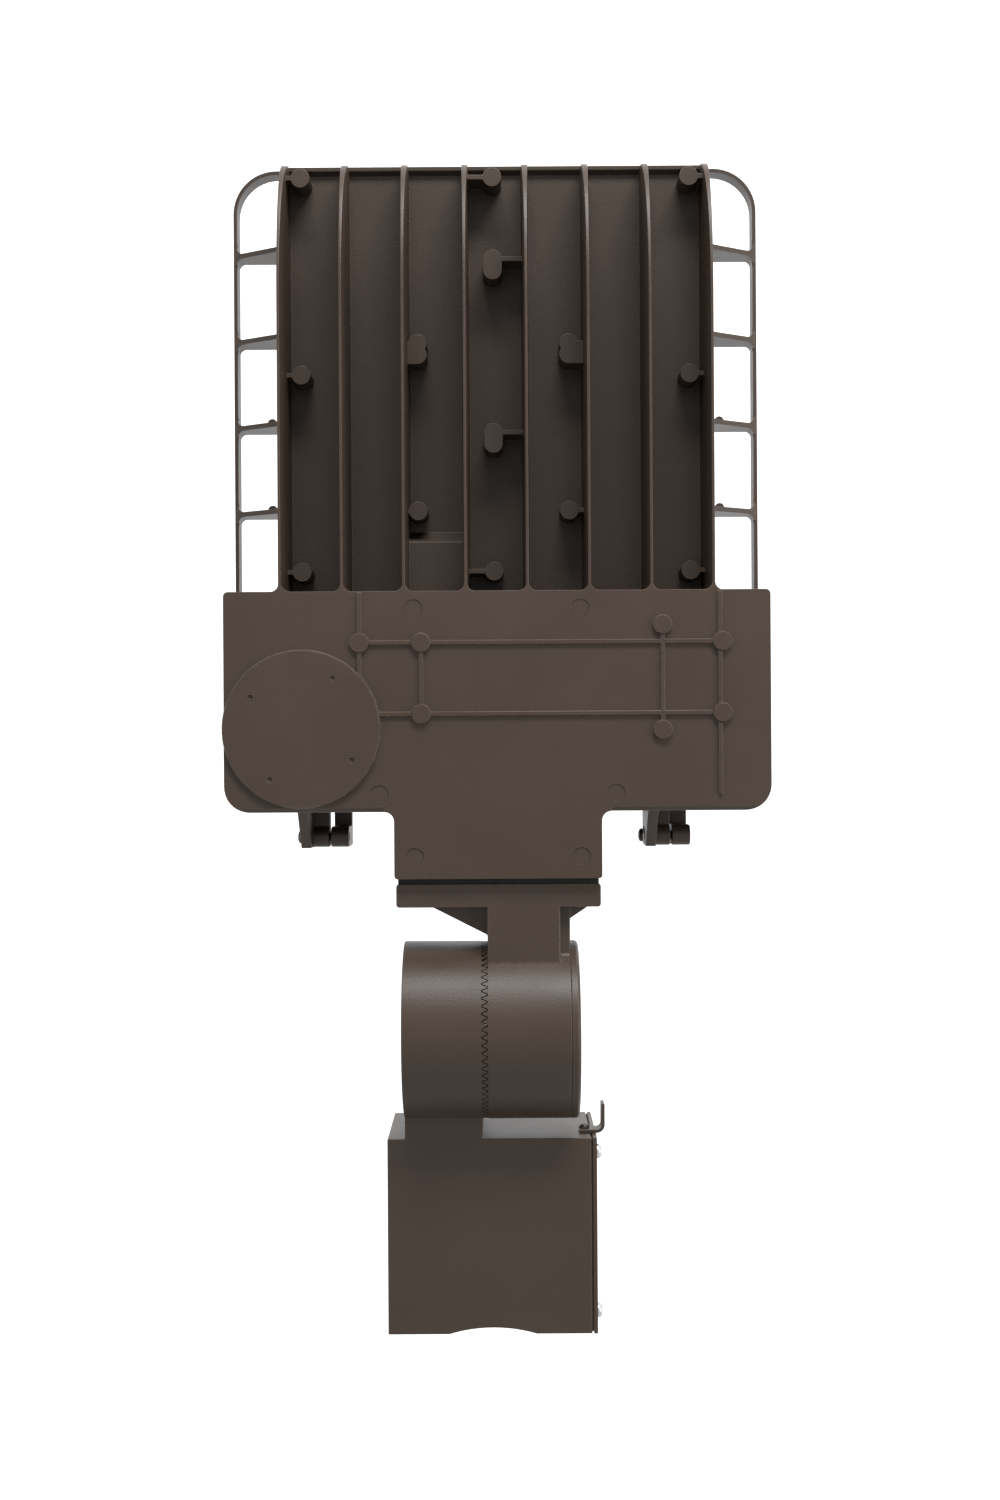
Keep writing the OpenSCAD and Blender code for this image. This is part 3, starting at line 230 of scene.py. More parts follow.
# A node's own mesh, merged and with its flat faces made whole
def copyNode(node, name, merge=0.02):
    limit = math.radians(0.4)
    piece = bpy.data.objects.new(name, nodes[node].data.copy())
    bpy.context.scene.collection.objects.link(piece)
    piece.data.name = name
    makeActive(piece)
    bpy.ops.mesh.customdata_custom_splitnormals_clear()
    openMesh(piece)
    bpy.ops.mesh.select_all(action="SELECT")
    bpy.ops.mesh.remove_doubles(threshold=merge * mm)
    bpy.ops.mesh.dissolve_degenerate(threshold=merge * mm)
    closeMesh()
    cutHoles(piece, limit)
    openMesh(piece)
    bpy.ops.mesh.select_all(action="SELECT")
    bpy.ops.mesh.dissolve_limited(angle_limit=limit, delimit={"SEAM"})
    bpy.ops.mesh.mark_seam(clear=True)
    closeMesh()
    return piece


# How wide the rounding may get at a corner before it meets the next one
def roomAt(corner, sharp):
    chain = [edge for edge in corner.link_edges if edge in sharp]
    others = [edge.calc_length() for edge in corner.link_edges if edge not in sharp]
    if len(chain) == 2 and goesOn(corner, *chain):
        return 0.9 * min(others, default=1)
    return 0.45 * min(edge.calc_length() for edge in corner.link_edges)


# Whether one edge goes on nearly straight from the other at their corner
def goesOn(corner, first, second):
    one, two = ((edge.other_vert(corner).co - corner.co).normalized() for edge in (first, second))
    return one.dot(two) < -0.85


# The sharp edges in runs, each of edges that go on nearly straight from one another
def sharpRuns(sharp):
    left = set(sharp)
    while left:
        run, stack = [], [left.pop()]
        while stack:
            edge = stack.pop()
            run.append(edge)
            for corner in edge.verts:
                near = {other for other in corner.link_edges
                    if other in left and goesOn(corner, edge, other)}
                left -= near
                stack.extend(near)
        yield run


# Gives a flat face that folds over itself triangles that don't
def repairFaces(piece):
    bm = bmesh.new()
    bm.from_mesh(piece.data)
    bm.normal_update()
    turned = set()
    for corners in bm.calc_loop_triangles():
        a, b, c = (loop.vert.co for loop in corners)
        cross = (b - a).cross(c - a)
        if len(corners[0].face.verts) > 4 and cross.length > 2e-9 and cross.dot(corners[0].face.normal) < 0:
            turned.add(corners[0].face)
    for face in turned:
        turn = face.normal.to_track_quat("Z", "Y").inverted()
        corners = list(face.verts)
        flat = [turn @ corner.co for corner in corners]
        height = sum(point.z for point in flat) / len(flat)
        order = list(range(len(flat)))
        points, _, faces, origins, *_ = delaunay_2d_cdt([point.xy for point in flat], [], [order], 1, 1e-7)
        made = [corners[origin[0]] if origin else bm.verts.new(turn.inverted() @ Vector((*point, height)))
            for point, origin in zip(points, origins)]
        for triangle in faces:
            patch = [made[index] for index in triangle]
            if len(set(patch)) == 3 and not bm.faces.get(patch):
                bm.faces.new(patch, face).normal_update()
    bmesh.ops.delete(bm, geom=list(turned), context="FACES_ONLY")
    bm.to_mesh(piece.data)
    bm.free()
    return len(turned)


# Rounds the sharp edges: rule gives an edge's share of the width from its middle, in mm
def roundEdges(piece, width, segments=2, angle=30, rule=None, least=0.4):
    bm = bmesh.new()
    bm.from_mesh(piece.data)
    layer = bm.edges.layers.float.get("bevel_weight_edge") or bm.edges.layers.float.new("bevel_weight_edge")
    limit = math.radians(angle)
    sharp = {edge for edge in bm.edges if len(edge.link_faces) == 2 and edge.calc_face_angle(0) > limit}
    room = {corner: roomAt(corner, sharp) / (width * mm) for edge in sharp for corner in edge.verts}
    for run in sharpRuns(sharp):
        middles = [(edge.verts[0].co + edge.verts[1].co) / (2 * mm) for edge in run]
        share = min(rule(middle) for middle in middles) if rule else 1
        tightest = min(room[corner] for edge in run for corner in edge.verts)
        for edge in run:
            edge[layer] = min(share, max(tightest, least))
    bm.to_mesh(piece.data)
    bm.free()
    piece.data.materials.clear()
    piece.data.materials.append(None)
    piece.data.materials.append(None)
    modifier = piece.modifiers.new("roundEdges", "BEVEL")
    modifier.width = width * mm
    modifier.segments = segments
    modifier.limit_method = "WEIGHT"
    modifier.use_clamp_overlap = False
    modifier.material = 1
    modifier.miter_outer = "MITER_SHARP"
    applyAll(piece)
    rub = piece.data.attributes.new("rub", "FLOAT", "FACE")
    rub.data.foreach_set("value", [float(p.material_index == 1) for p in piece.data.polygons])
    piece.data.polygons.foreach_set("material_index", [0] * len(piece.data.polygons))
    print(piece.name, "flat faces mended:", repairFaces(piece))


# Shader building
def addNode(tree, kind, **values):
    node = tree.nodes.new(kind)
    for name, value in values.items():
        if name in node.inputs:
            node.inputs[name].default_value = value
        else:
            setattr(node, name, value)
    return node


def newGroup(name, inputs, outputs):
    tree = bpy.data.node_groups.new(name, "ShaderNodeTree")
    for label, kind, value in inputs:
        socket = tree.interface.new_socket(name=label, in_out="INPUT", socket_type=kind)
        if value is not None:
            socket.default_value = value
    for label, kind in outputs:
        tree.interface.new_socket(name=label, in_out="OUTPUT", socket_type=kind)
    return tree, tree.nodes.new("NodeGroupInput"), tree.nodes.new("NodeGroupOutput")


# Orange peel and fine speckle of a sprayed or powder coat
def coatGrainGroup():
    tree, start, end = newGroup("coatGrain",
        [("Vector", "NodeSocketVector", None), ("Peel Scale", "NodeSocketFloat", 520.0),
         ("Speckle Scale", "NodeSocketFloat", 2400.0)],
        [("Height", "NodeSocketFloat"), ("Speckle", "NodeSocketFloat")])
    peel = addNode(tree, "ShaderNodeTexNoise", Detail=2.0, Roughness=0.45)
    fine = addNode(tree, "ShaderNodeTexNoise", Detail=1.0, Roughness=0.5)
    tree.links.new(start.outputs["Vector"], peel.inputs["Vector"])
    tree.links.new(start.outputs["Peel Scale"], peel.inputs["Scale"])
    tree.links.new(start.outputs["Vector"], fine.inputs["Vector"])
    tree.links.new(start.outputs["Speckle Scale"], fine.inputs["Scale"])
    add = addNode(tree, "ShaderNodeMath", operation="MULTIPLY_ADD")
    add.inputs[1].default_value = 0.35
    tree.links.new(fine.outputs["Fac"], add.inputs[0])
    tree.links.new(peel.outputs["Fac"], add.inputs[2])
    tree.links.new(add.outputs[0], end.inputs["Height"])
    tree.links.new(fine.outputs["Fac"], end.inputs["Speckle"])
    return tree


# Slow changes of tone over a cast or moulded face
def castToneGroup():
    tree, start, end = newGroup("castTone",
        [("Vector", "NodeSocketVector", None), ("Scale", "NodeSocketFloat", 14.0)],
        [("Tone", "NodeSocketFloat")])
    broad = addNode(tree, "ShaderNodeTexNoise", Detail=5.0, Roughness=0.6)
    tree.links.new(start.outputs["Vector"], broad.inputs["Vector"])
    tree.links.new(start.outputs["Scale"], broad.inputs["Scale"])
    spread = addNode(tree, "ShaderNodeMapRange")
    spread.inputs["From Min"].default_value = 0.3
    spread.inputs["From Max"].default_value = 0.7
    tree.links.new(broad.outputs["Fac"], spread.inputs["Value"])
    tree.links.new(spread.outputs["Result"], end.inputs["Tone"])
    return tree


# Patchy wear on the rounded edges, which carry the attribute rub
def edgeRubGroup():
    tree, start, end = newGroup("edgeRub",
        [("Vector", "NodeSocketVector", None), ("Rub", "NodeSocketFloat", 0.0),
         ("Scale", "NodeSocketFloat", 160.0), ("Least", "NodeSocketFloat", 0.35)],
        [("Mask", "NodeSocketFloat")])
    patches = addNode(tree, "ShaderNodeTexNoise", Detail=3.0, Roughness=0.6)
    tree.links.new(start.outputs["Vector"], patches.inputs["Vector"])
    tree.links.new(start.outputs["Scale"], patches.inputs["Scale"])
    spread = addNode(tree, "ShaderNodeMapRange")
    spread.inputs["From Min"].default_value = 0.4
    spread.inputs["From Max"].default_value = 0.62
    tree.links.new(patches.outputs["Fac"], spread.inputs["Value"])
    tree.links.new(start.outputs["Least"], spread.inputs["To Min"])
    times = addNode(tree, "ShaderNodeMath", operation="MULTIPLY")
    tree.links.new(spread.outputs["Result"], times.inputs[0])
    tree.links.new(start.outputs["Rub"], times.inputs[1])
    tree.links.new(times.outputs[0], end.inputs["Mask"])
    return tree


groups = {"grain": coatGrainGroup(), "tone": castToneGroup(), "rub": edgeRubGroup()}


def mixColour(tree, factor, first, second):
    mix = tree.nodes.new("ShaderNodeMix")
    mix.data_type = "RGBA"
    tree.links.new(factor, mix.inputs[0])
    for socket, value in ((mix.inputs[6], first), (mix.inputs[7], second)):
        if isinstance(value, bpy.types.NodeSocket):
            tree.links.new(value, socket)
        else:
            socket.default_value = (*value, 1)
    return mix.outputs[2]


# One recipe for every coated, cast or moulded surface
def surface(name, look):
    material = bpy.data.materials.new(name)
    material.use_nodes = True
    tree = material.node_tree
    shader = tree.nodes["Principled BSDF"]
    place = addNode(tree, "ShaderNodeTexCoord")
    grain = addNode(tree, "ShaderNodeGroup", node_tree=groups["grain"])
    grain.inputs["Peel Scale"].default_value = look.get("peel", 520)
    grain.inputs["Speckle Scale"].default_value = look.get("speckle", 2400)
    tone = addNode(tree, "ShaderNodeGroup", node_tree=groups["tone"])
    tone.inputs["Scale"].default_value = look.get("toneScale", 14)
    rub = addNode(tree, "ShaderNodeGroup", node_tree=groups["rub"])
    rub.inputs["Scale"].default_value = look.get("rubScale", 160)
    rub.inputs["Least"].default_value = look.get("rubLeast", 0.35)
    mark = addNode(tree, "ShaderNodeAttribute", attribute_name="rub")
    for group in (grain, tone, rub):
        tree.links.new(place.outputs["Object"], group.inputs["Vector"])
    tree.links.new(mark.outputs["Fac"], rub.inputs["Rub"])
    body = mixColour(tree, tone.outputs["Tone"], look["dark"], look["light"])
    speckled = mixColour(tree, grain.outputs["Speckle"], look.get("speck", look["dark"]), body)
    worn = mixColour(tree, rub.outputs["Mask"], speckled, look.get("edge", look["light"]))
    tree.links.new(worn, shader.inputs["Base Color"])
    rough = addNode(tree, "ShaderNodeMapRange")
    rough.inputs["To Min"].default_value = look["rough"][0]
    rough.inputs["To Max"].default_value = look["rough"][1]
    tree.links.new(tone.outputs["Tone"], rough.inputs["Value"])
    tree.links.new(rough.outputs["Result"], shader.inputs["Roughness"])
    bump = addNode(tree, "ShaderNodeBump")
    bump.inputs["Strength"].default_value = look.get("bump", 0.3)
    bump.inputs["Distance"].default_value = look.get("depth", 0.00012)
    tree.links.new(grain.outputs["Height"], bump.inputs["Height"])
    tree.links.new(bump.outputs["Normal"], shader.inputs["Normal"])
    shader.inputs["Metallic"].default_value = look.get("metal", 0.0)
    shader.inputs["Specular IOR Level"].default_value = look.get("gloss", 0.5)
    if "clear" in look:
        shader.inputs["Transmission Weight"].default_value = look["clear"]
        shader.inputs["IOR"].default_value = look["ior"]
    return material


# Colours run from dark to light over a face, with specks, and a rubbed edge
bronzeLook = {"dark": (0.052, 0.0355, 0.0255), "light": (0.065, 0.0465, 0.0350),
    "speck": (0.040, 0.027, 0.019), "edge": (0.074, 0.055, 0.042), "rough": (0.39, 0.49), "bump": 0.5,
    "depth": 0.0002, "peel": 900, "speckle": 2600, "gloss": 0.30}
zincLook = {"dark": (0.46, 0.46, 0.46), "light": (0.62, 0.63, 0.64), "edge": (0.75, 0.75, 0.75),
    "rough": (0.28, 0.42), "metal": 1.0, "bump": 0.15, "depth": 0.00004, "toneScale": 220, "peel": 1800}
blackLook = {"dark": (0.010, 0.010, 0.009), "light": (0.020, 0.019, 0.018), "edge": (0.07, 0.068, 0.065),
    "rough": (0.30, 0.42), "bump": 0.2, "depth": 0.00005, "toneScale": 200, "peel": 1500}
rubberLook = {"dark": (0.010, 0.010, 0.009), "light": (0.018, 0.017, 0.016), "rough": (0.7, 0.85),
    "bump": 0.4, "depth": 0.00010, "peel": 900, "gloss": 0.3}
foamLook = {**rubberLook, "dark": (0.030, 0.026, 0.023), "light": (0.042, 0.036, 0.032)}
greenLook = {"dark": (0.02, 0.13, 0.035), "light": (0.035, 0.20, 0.055), "edge": (0.30, 0.34, 0.28),
    "rough": (0.3, 0.42), "bump": 0.1, "toneScale": 200}
boardLook = {"dark": (0.72, 0.73, 0.70), "light": (0.80, 0.81, 0.78), "rough": (0.35, 0.45), "bump": 0.08,
    "speck": (0.66, 0.67, 0.64)}
emitterLook = {"dark": (0.80, 0.50, 0.03), "light": (0.90, 0.62, 0.06), "rough": (0.35, 0.5), "bump": 0.1,
    "toneScale": 300, "speck": (0.70, 0.40, 0.02)}
lensLook = {"dark": (0.93, 0.95, 0.96), "light": (0.97, 0.98, 0.98), "speck": (0.93, 0.95, 0.96),
    "edge": (0.97, 0.98, 0.98), "rough": (0.04, 0.10), "clear": 1.0, "ior": 1.49, "bump": 0.03}
driverLook = {"dark": (0.50, 0.51, 0.51), "light": (0.60, 0.61, 0.61), "edge": (0.75, 0.75, 0.75),
    "rough": (0.38, 0.5), "metal": 0.9, "bump": 0.12, "toneScale": 40, "peel": 900}
surgeLook = {"dark": (0.012, 0.014, 0.018), "light": (0.022, 0.025, 0.030), "rough": (0.45, 0.6),
    "bump": 0.25}
terminalLook = {"dark": (0.60, 0.57, 0.48), "light": (0.70, 0.67, 0.57), "rough": (0.4, 0.55),
    "bump": 0.15}
looks = {
    "bronze_coat": surface("bronzePowderCoat", bronzeLook),
    "zinc_steel": surface("zincSteel", zincLook),
    "black_steel": surface("blackSteel", blackLook),
    "dark_rubber": surface("darkRubber", rubberLook),
    "green_steel": surface("greenSteel", greenLook),
    "board_white": surface("whiteSolderMask", boardLook),
    "emitter_yellow": surface("phosphor", emitterLook),
    "clear_lens": surface("clearLens", lensLook),
    "driver_case": surface("driverCase", driverLook),
    "surge_case": surface("surgeCase", surgeLook),
    "terminal_body": surface("terminalPlastic", terminalLook),
}
ownLooks = {"box_cover_gasket": surface("greyFoam", foamLook)}
print("materials made")


# Pieces that keep the solid's shape, with their edges rounded
toothRing = {"x": -4, "y": 186, "z": 30, "radius": 52.5, "half": (2.3, 4.5), "share": 0.16}


def toothShare(point):
    out = math.hypot(point.y - toothRing["y"], point.z - toothRing["z"]) - toothRing["radius"]
    onRing = abs(point.x - toothRing["x"]) < toothRing["half"][0] and abs(out) < toothRing["half"][1]
    return toothRing["share"] if onRing else 1


# A wide fillet where the stem's top meets the drum
stemFillet = {"y": (228, 238), "above": 54, "elsewhere": 0.29}


def armShare(point):
    atDrum = stemFillet["y"][0] < point.y < stemFillet["y"][1] and point.z > stemFillet["above"]
    return 1 if atDrum else stemFillet["elsewhere"] * toothShare(point)


# Ribs, bosses and the pad stand on the head's top with softer edges than the walls
headTop = {"above": 69.3, "elsewhere": 0.5}


def headShare(point):
    return 1 if point.z > headTop["above"] else headTop["elsewhere"]


# The boxes of a node's separate solids, in mm
def solidBoxes(node):
    bm = bmesh.new()
    bm.from_mesh(nodes[node].data)
    bmesh.ops.remove_doubles(bm, verts=bm.verts, dist=0.00001)
    left, boxes = set(bm.verts), []
    while left:
        stack, group = [left.pop()], []
        while stack:
            corner = stack.pop()
            group.append(corner.co / mm)
            near = {edge.other_vert(corner) for edge in corner.link_edges} & left
            left -= near
            stack.extend(near)
        boxes.append([(min(p[k] for p in group), max(p[k] for p in group)) for k in range(3)])
    bm.free()
    return sorted(boxes)


# Sinks rectangles, each (x0, x1, y0, y1) in mm, into the face at a height that looks down
def sinkPockets(piece, height, depth, rectangles):
    openMesh(piece, "FACE")
    for x0, x1, y0, y1 in rectangles:
        for axis, place in ((0, x0), (0, x1), (1, y0), (1, y1)):
            direction = Vector([float(k == axis) for k in range(3)])
            bpy.ops.mesh.select_all(action="SELECT")
            bpy.ops.mesh.bisect(plane_co=direction * place * mm, plane_no=direction, threshold=0.00001)
    bpy.ops.mesh.select_all(action="DESELECT")

    def inside(face):
        x, y, z = face.calc_center_median() / mm
        return face.normal.z < -0.99 and abs(z - height) < 0.05 and any(
            x0 < x < x1 and y0 < y < y1 for x0, x1, y0, y1 in rectangles)

    pickFaces(piece, inside)
    bpy.ops.mesh.extrude_region_move(TRANSFORM_OT_translate={"value": (0, 0, depth * mm)})
    bpy.ops.mesh.select_all(action="SELECT")
    bpy.ops.mesh.dissolve_limited(angle_limit=math.radians(0.4))
    closeMesh()


# The driver's extruded case, with grooves in its open side
caseLook = {"x": 51, "y": 408, "half": 86, "low": 23.8, "grooves": (-25, -15, -5, 5, 15, 25),
    "grooveHalf": (80, 2.5), "sunk": 0.8, "share": 0.25}
surgeX, surgeY, surgeZ = solidBoxes("surge_protector")[0]
labelLook = {"margin": 4, "length": 30, "sunk": 0.5}


def grooveBox(y):
    halfX, halfY = caseLook["grooveHalf"]
    middle = caseLook["y"] + y
    return caseLook["x"] - halfX, caseLook["x"] + halfX, middle - halfY, middle + halfY


def labelBox():
    margin = labelLook["margin"]
    near = surgeY[0] + margin
    return surgeX[0] + margin, surgeX[1] - margin, near, near + labelLook["length"]


pockets = {
    "driverCase": (caseLook["low"], caseLook["sunk"], [grooveBox(y) for y in caseLook["grooves"]]),
    "surgeCase": (surgeZ[0], labelLook["sunk"], [labelBox()]),
}


def caseShare(point):
    halfX, halfY = caseLook["grooveHalf"]
    across, along = abs(point.x - caseLook["x"]), abs(point.y - caseLook["y"])
    inGrooves = across < halfX + 1 and along < caseLook["grooves"][-1] + halfY + 1
    return caseLook["share"] if inGrooves and point.z < caseLook["low"] + caseLook["sunk"] + 0.1 else 1


# Each piece's node, width and steps of rounding, and rule for the share of it
castings = {
    "armBoxCasting": ("arm_box", 0.7, 2, toothShare),
    "tiltArmCasting": ("knuckle_arm", 2.4, 2, armShare),
    "knuckleEndCap": ("knuckle_cap", 0.5, 2, None),
    "headCasting": ("head_housing", 1.0, 2, headShare),
    "armBoxCover": ("box_cover", 0.3, 2, None),
    "serviceHook": ("hanging_hook", 0.5, 2, None),
    "lensFrame": ("lens_frame", 0.4, 2, None),
    "driverDoor": ("driver_door", 0.6, 2, None),
    "coverGasket": ("box_cover_gasket", 0.15, 1, None),
    "neckGasket": ("neck_gasket", 0.4, 2, None),
    "lensGasket": ("lens_gasket", 0.4, 1, None),
    "doorGasket": ("door_gasket", 0.3, 2, None),
    "ledBoardLeft": ("led_board_left", 0.15, 1, None),
    "ledBoardRight": ("led_board_right", 0.15, 1, None),
    "lensPlateLeft": ("lens_plate_left", 0.3, 2, None),
    "lensPlateRight": ("lens_plate_right", 0.3, 2, None),
    "driverCase": ("led_driver", 1.0, 3, caseShare),
    "surgeCase": ("surge_protector", 1.2, 3, None),
    "terminalBody": ("terminal_block", 0.6, 2, None),
}


# A rounded corner where runs meet may overshoot, so it is held to the node's own box
def keepInside(piece, node):
    low, high = nodes[node].bound_box[0], nodes[node].bound_box[6]
    for corner in piece.data.vertices:
        corner.co = [min(max(place, a), b) for place, a, b in zip(corner.co, low, high)]


for name, (node, width, segments, rule) in castings.items():
    piece = copyNode(node, name)
    if name in pockets:
        sinkPockets(piece, *pockets[name])
    roundEdges(piece, width, segments, rule=rule)
    keepInside(piece, node)
    smooth(piece)
    finishPiece(paint(piece, ownLooks.get(node, looks[slotOf[node]])), node)
print("castings dressed")


# Turning and cutting
def lathe(name, profile, steps=24):
    mesh = bpy.data.meshes.new(name)
    edges = [(i, i + 1) for i in range(len(profile) - 1)]
    mesh.from_pydata([(r * mm, 0, z * mm) for r, z in profile], edges, [])
    piece = bpy.data.objects.new(name, mesh)
    bpy.context.scene.collection.objects.link(piece)
    openMesh(piece)
    bpy.ops.mesh.select_all(action="SELECT")
    bpy.ops.mesh.spin(steps=steps, angle=2 * math.pi, center=(0, 0, 0), axis=(0, 0, 1))
    bpy.ops.mesh.select_all(action="SELECT")
    bpy.ops.mesh.remove_doubles(threshold=0.000002)
    bpy.ops.mesh.normals_make_consistent(inside=False)
    closeMesh()
    return piece


def combine(piece, tool, operation):
    modifier = piece.modifiers.new("cut", "BOOLEAN")
    modifier.operation = operation
    modifier.solver = "EXACT"
    modifier.object = tool
    applyAll(piece)
    bpy.data.objects.remove(tool)
    return piece


def join(name, pieces):
    deselectAll()
    for piece in pieces:
        piece.select_set(True)
    bpy.context.view_layer.objects.active = pieces[0]
    bpy.ops.object.join()
    return settle(bpy.context.object, name)


def twin(piece, matrix):
    mesh = piece.data.copy()
    mesh.transform(matrix)
    other = bpy.data.objects.new(piece.name, mesh)
    bpy.context.scene.collection.objects.link(other)
    return other


def prism(name, corners, radius, low, high):
    deselectAll()
    bpy.ops.mesh.primitive_cylinder_add(vertices=corners, radius=radius * mm, depth=(high - low) * mm,
        location=(0, 0, (low + high) / 2 * mm))
    return settle(bpy.context.object, name)


def bar(name, low, high):
    deselectAll()
    bpy.ops.mesh.primitive_cube_add(size=1, location=[(a + b) / 2 * mm for a, b in zip(low, high)])
    bpy.context.object.scale = [(b - a) * mm for a, b in zip(low, high)]
    return settle(bpy.context.object, name)


# A cross that narrows downwards, or a slot or hexagon, to cut a screw's drive
driveLook = {"armShare": 0.17, "footShare": 0.55}


def driveTool(kind, reach, top, depth):
    if kind == "hex":
        tool = prism("drive", 6, reach, top - depth, top + 1)
    else:
        arm = driveLook["armShare"] * reach
        tool = bar("drive", (-reach, -arm, top - depth), (reach, arm, top + 1))
        if kind == "cross":
            combine(tool, bar("drive", (-arm, -reach, top - depth), (arm, reach, top + 1)), "UNION")
            openMesh(tool, "FACE")
            pickFaces(tool, lambda face: face.normal.z < -0.9)
            foot = driveLook["footShare"]
            bpy.ops.transform.resize(value=(foot, foot, 1), center_override=(0, 0, 0))
            closeMesh()
    return tool


# Head outlines, as shares of the head's radius and height
headShares = {
    "pan": [(0, 1), (0.35, 0.985), (0.6, 0.93), (0.8, 0.80), (0.93, 0.58), (0.99, 0.34), (1, 0.12),
        (0.97, 0)],
    "cap": [(0, 1), (0.82, 1), (0.92, 0.98), (0.98, 0.93), (1, 0.84), (1, 0.06), (0.97, 0)],
    "low": [(0, 1), (0.55, 0.97), (0.8, 0.85), (0.95, 0.6), (1, 0.3), (1, 0.08), (0.97, 0)],
}
threadLook = {"pitchShare": 0.32, "plain": 1.0, "rootShare": 0.55, "steps": 24}


# A screw with its seat at the origin, its head up and its threaded shank down
def makeScrew(look):
    r, h, shank, length = look["headR"], look["headH"], look["shankR"], look["length"]
    profile = [(a * r, b * h) for a, b in headShares[look["form"]]]
    pitch = threadLook["pitchShare"] * shank
    crest, end = shank * 0.99, -length + 0.02
    z = -threadLook["plain"]
    profile += [(crest, 0), (crest, z)]
    while z - pitch > -length + shank:
        profile += [(crest - 0.5 * pitch, z - 0.42 * pitch), (crest, z - 0.9 * pitch)]
        z -= pitch
    profile += [(shank * threadLook["rootShare"], end), (0, end)]
    piece = lathe("screw", profile, threadLook["steps"])
    return combine(piece, driveTool(look["drive"], look["reach"] * r, h, look["deep"] * h), "DIFFERENCE")


def placed(direction, seat, turn=0):
    aim = Vector(direction).to_track_quat("Z", "Y").to_matrix().to_4x4()
    return Matrix.Translation(Vector(seat) * mm) @ aim @ Matrix.Rotation(math.radians(turn), 4, "Z")


# Screws: the way the head points, its size, shank and drive
panLook = {"form": "pan", "drive": "cross", "reach": 0.62, "deep": 0.6}
slotLook = {"form": "cap", "drive": "slot", "reach": 1.2, "deep": 0.45}
coverLook = {**panLook, "headR": 4.7, "headH": 3.6, "shankR": 2.5}
hookLook = {**panLook, "headR": 3.4, "headH": 2.6, "shankR": 2.0}
earthLook = {**slotLook, "headR": 4.0, "headH": 2.6, "shankR": 2.0}
plateLook = {"form": "cap", "drive": "hex", "reach": 0.55, "deep": 0.5, "headR": 5.0, "headH": 6.0,
    "shankR": 3.0}
smallPan = {**panLook, "headR": 3.8, "headH": 2.6, "shankR": 2.0}
flatPan = {**panLook, "form": "low", "headR": 3.0, "headH": 1.0, "shankR": 1.7}
hingeLook = {**panLook, "headR": 4.3, "headH": 2.8, "shankR": 3.0}
doorLook = {**slotLook, "headR": 5.5, "headH": 3.5, "shankR": 2.5}
screws = {
    "coverScrews": ("box_cover_screws", (1, 0, 0), coverLook),
    "hookScrew": ("hook_screw", (0, 1, 0), hookLook),
    "earthScrew": ("earth_screw", (0, 0, 1), earthLook),
    "plateBolts": ("arm_plate_bolts", (0, 1, 0), plateLook),
    "boardScrews": ("board_screws", (0, 0, -1), flatPan),
    "frameScrews": ("lens_frame_screws", (0, 0, -1), {**smallPan, "headH": 2.2}),
    "driverScrews": ("driver_screws", (0, 0, -1), smallPan),
    "surgeScrew": ("surge_screw", (0, 0, -1), smallPan),
    "terminalScrews": ("terminal_screws", (0, 0, -1), {**smallPan, "headR": 3.0, "shankR": 1.5}),
    "hingeScrews": ("hinge_screws", (-1, 0, 0), hingeLook),
    "doorScrewLeft": ("door_screw_left", (0, 0, -1), doorLook),
    "doorScrewRight": ("door_screw_right", (0, 0, -1), doorLook),
}
stops = {"first": 17, "step": 41}  # each screw stops at an angle of its own
for name, (node, direction, look) in screws.items():
    axis = max(range(3), key=lambda k: abs(direction[k]))
    boxes = solidBoxes(node)
    model = makeScrew({**look, "length": boxes[0][axis][1] - boxes[0][axis][0] - look["headH"]})
    copies = []
    for number, box in enumerate(boxes):
        seat = [(low + high) / 2 for low, high in box]
        seat[axis] = box[axis][1] - look["headH"] if direction[axis] > 0 else box[axis][0] + look["headH"]
        copies.append(twin(model, placed(direction, seat, stops["first"] + stops["step"] * number)))
    bpy.data.objects.remove(model)
    piece = join(name, copies) if len(copies) > 1 else settle(copies[0], name)
    smooth(piece, 40, weighted=False)
    finishPiece(paint(piece, looks[slotOf[node]]), node)
print("screws made")


# A hexagon head or nut along Z, with its corners chamfered at the ends that are named
def hexPiece(name, flats, low, high, chamfered):
    corner = flats / 2 / math.cos(math.radians(30))
    inner = 0.95 * flats / 2
    fall = (corner - inner) * math.tan(math.radians(30))
    drop = fall if "low" in chamfered else 0
    rise = fall if "high" in chamfered else 0
    beyond = 1 + 1 / (corner - inner)
    outline = [(0, high), (inner if rise else corner + 1, high), (corner + 1, high - rise * beyond),
        (corner + 1, low + drop * beyond), (inner if drop else corner + 1, low), (0, low)]
    return combine(prism(name, 6, corner, low, high), lathe("chamfer", outline, 48), "INTERSECT")


nutBox = solidBoxes("knuckle_nut")[0]
boltBox = solidBoxes("knuckle_bolt")[0]
axisY = (boltBox[1][0] + boltBox[1][1]) / 2
axisZ = (boltBox[2][0] + boltBox[2][1]) / 2
boltLook = {"flats": boltBox[1][1] - boltBox[1][0], "headH": 7.5, "shankR": 6, "pitch": 1.75,
    "threadLen": 38, "threadDeep": 0.9, "rootAt": 0.85, "crestAt": 1.62, "pointLen": 2.5,
    "ringH": 0.35, "ringShare": 0.94}
nutLook = {"play": 0.41, "lead": 0.6, "leadLen": 0.7}
nutHigh = nutBox[0][1] - nutBox[0][0]
nut = hexPiece("knuckleNut", boltLook["flats"], 0, nutHigh, "low high")
hole = boltLook["shankR"] + nutLook["play"]
mouth, leadLen = hole + nutLook["lead"], nutLook["leadLen"]
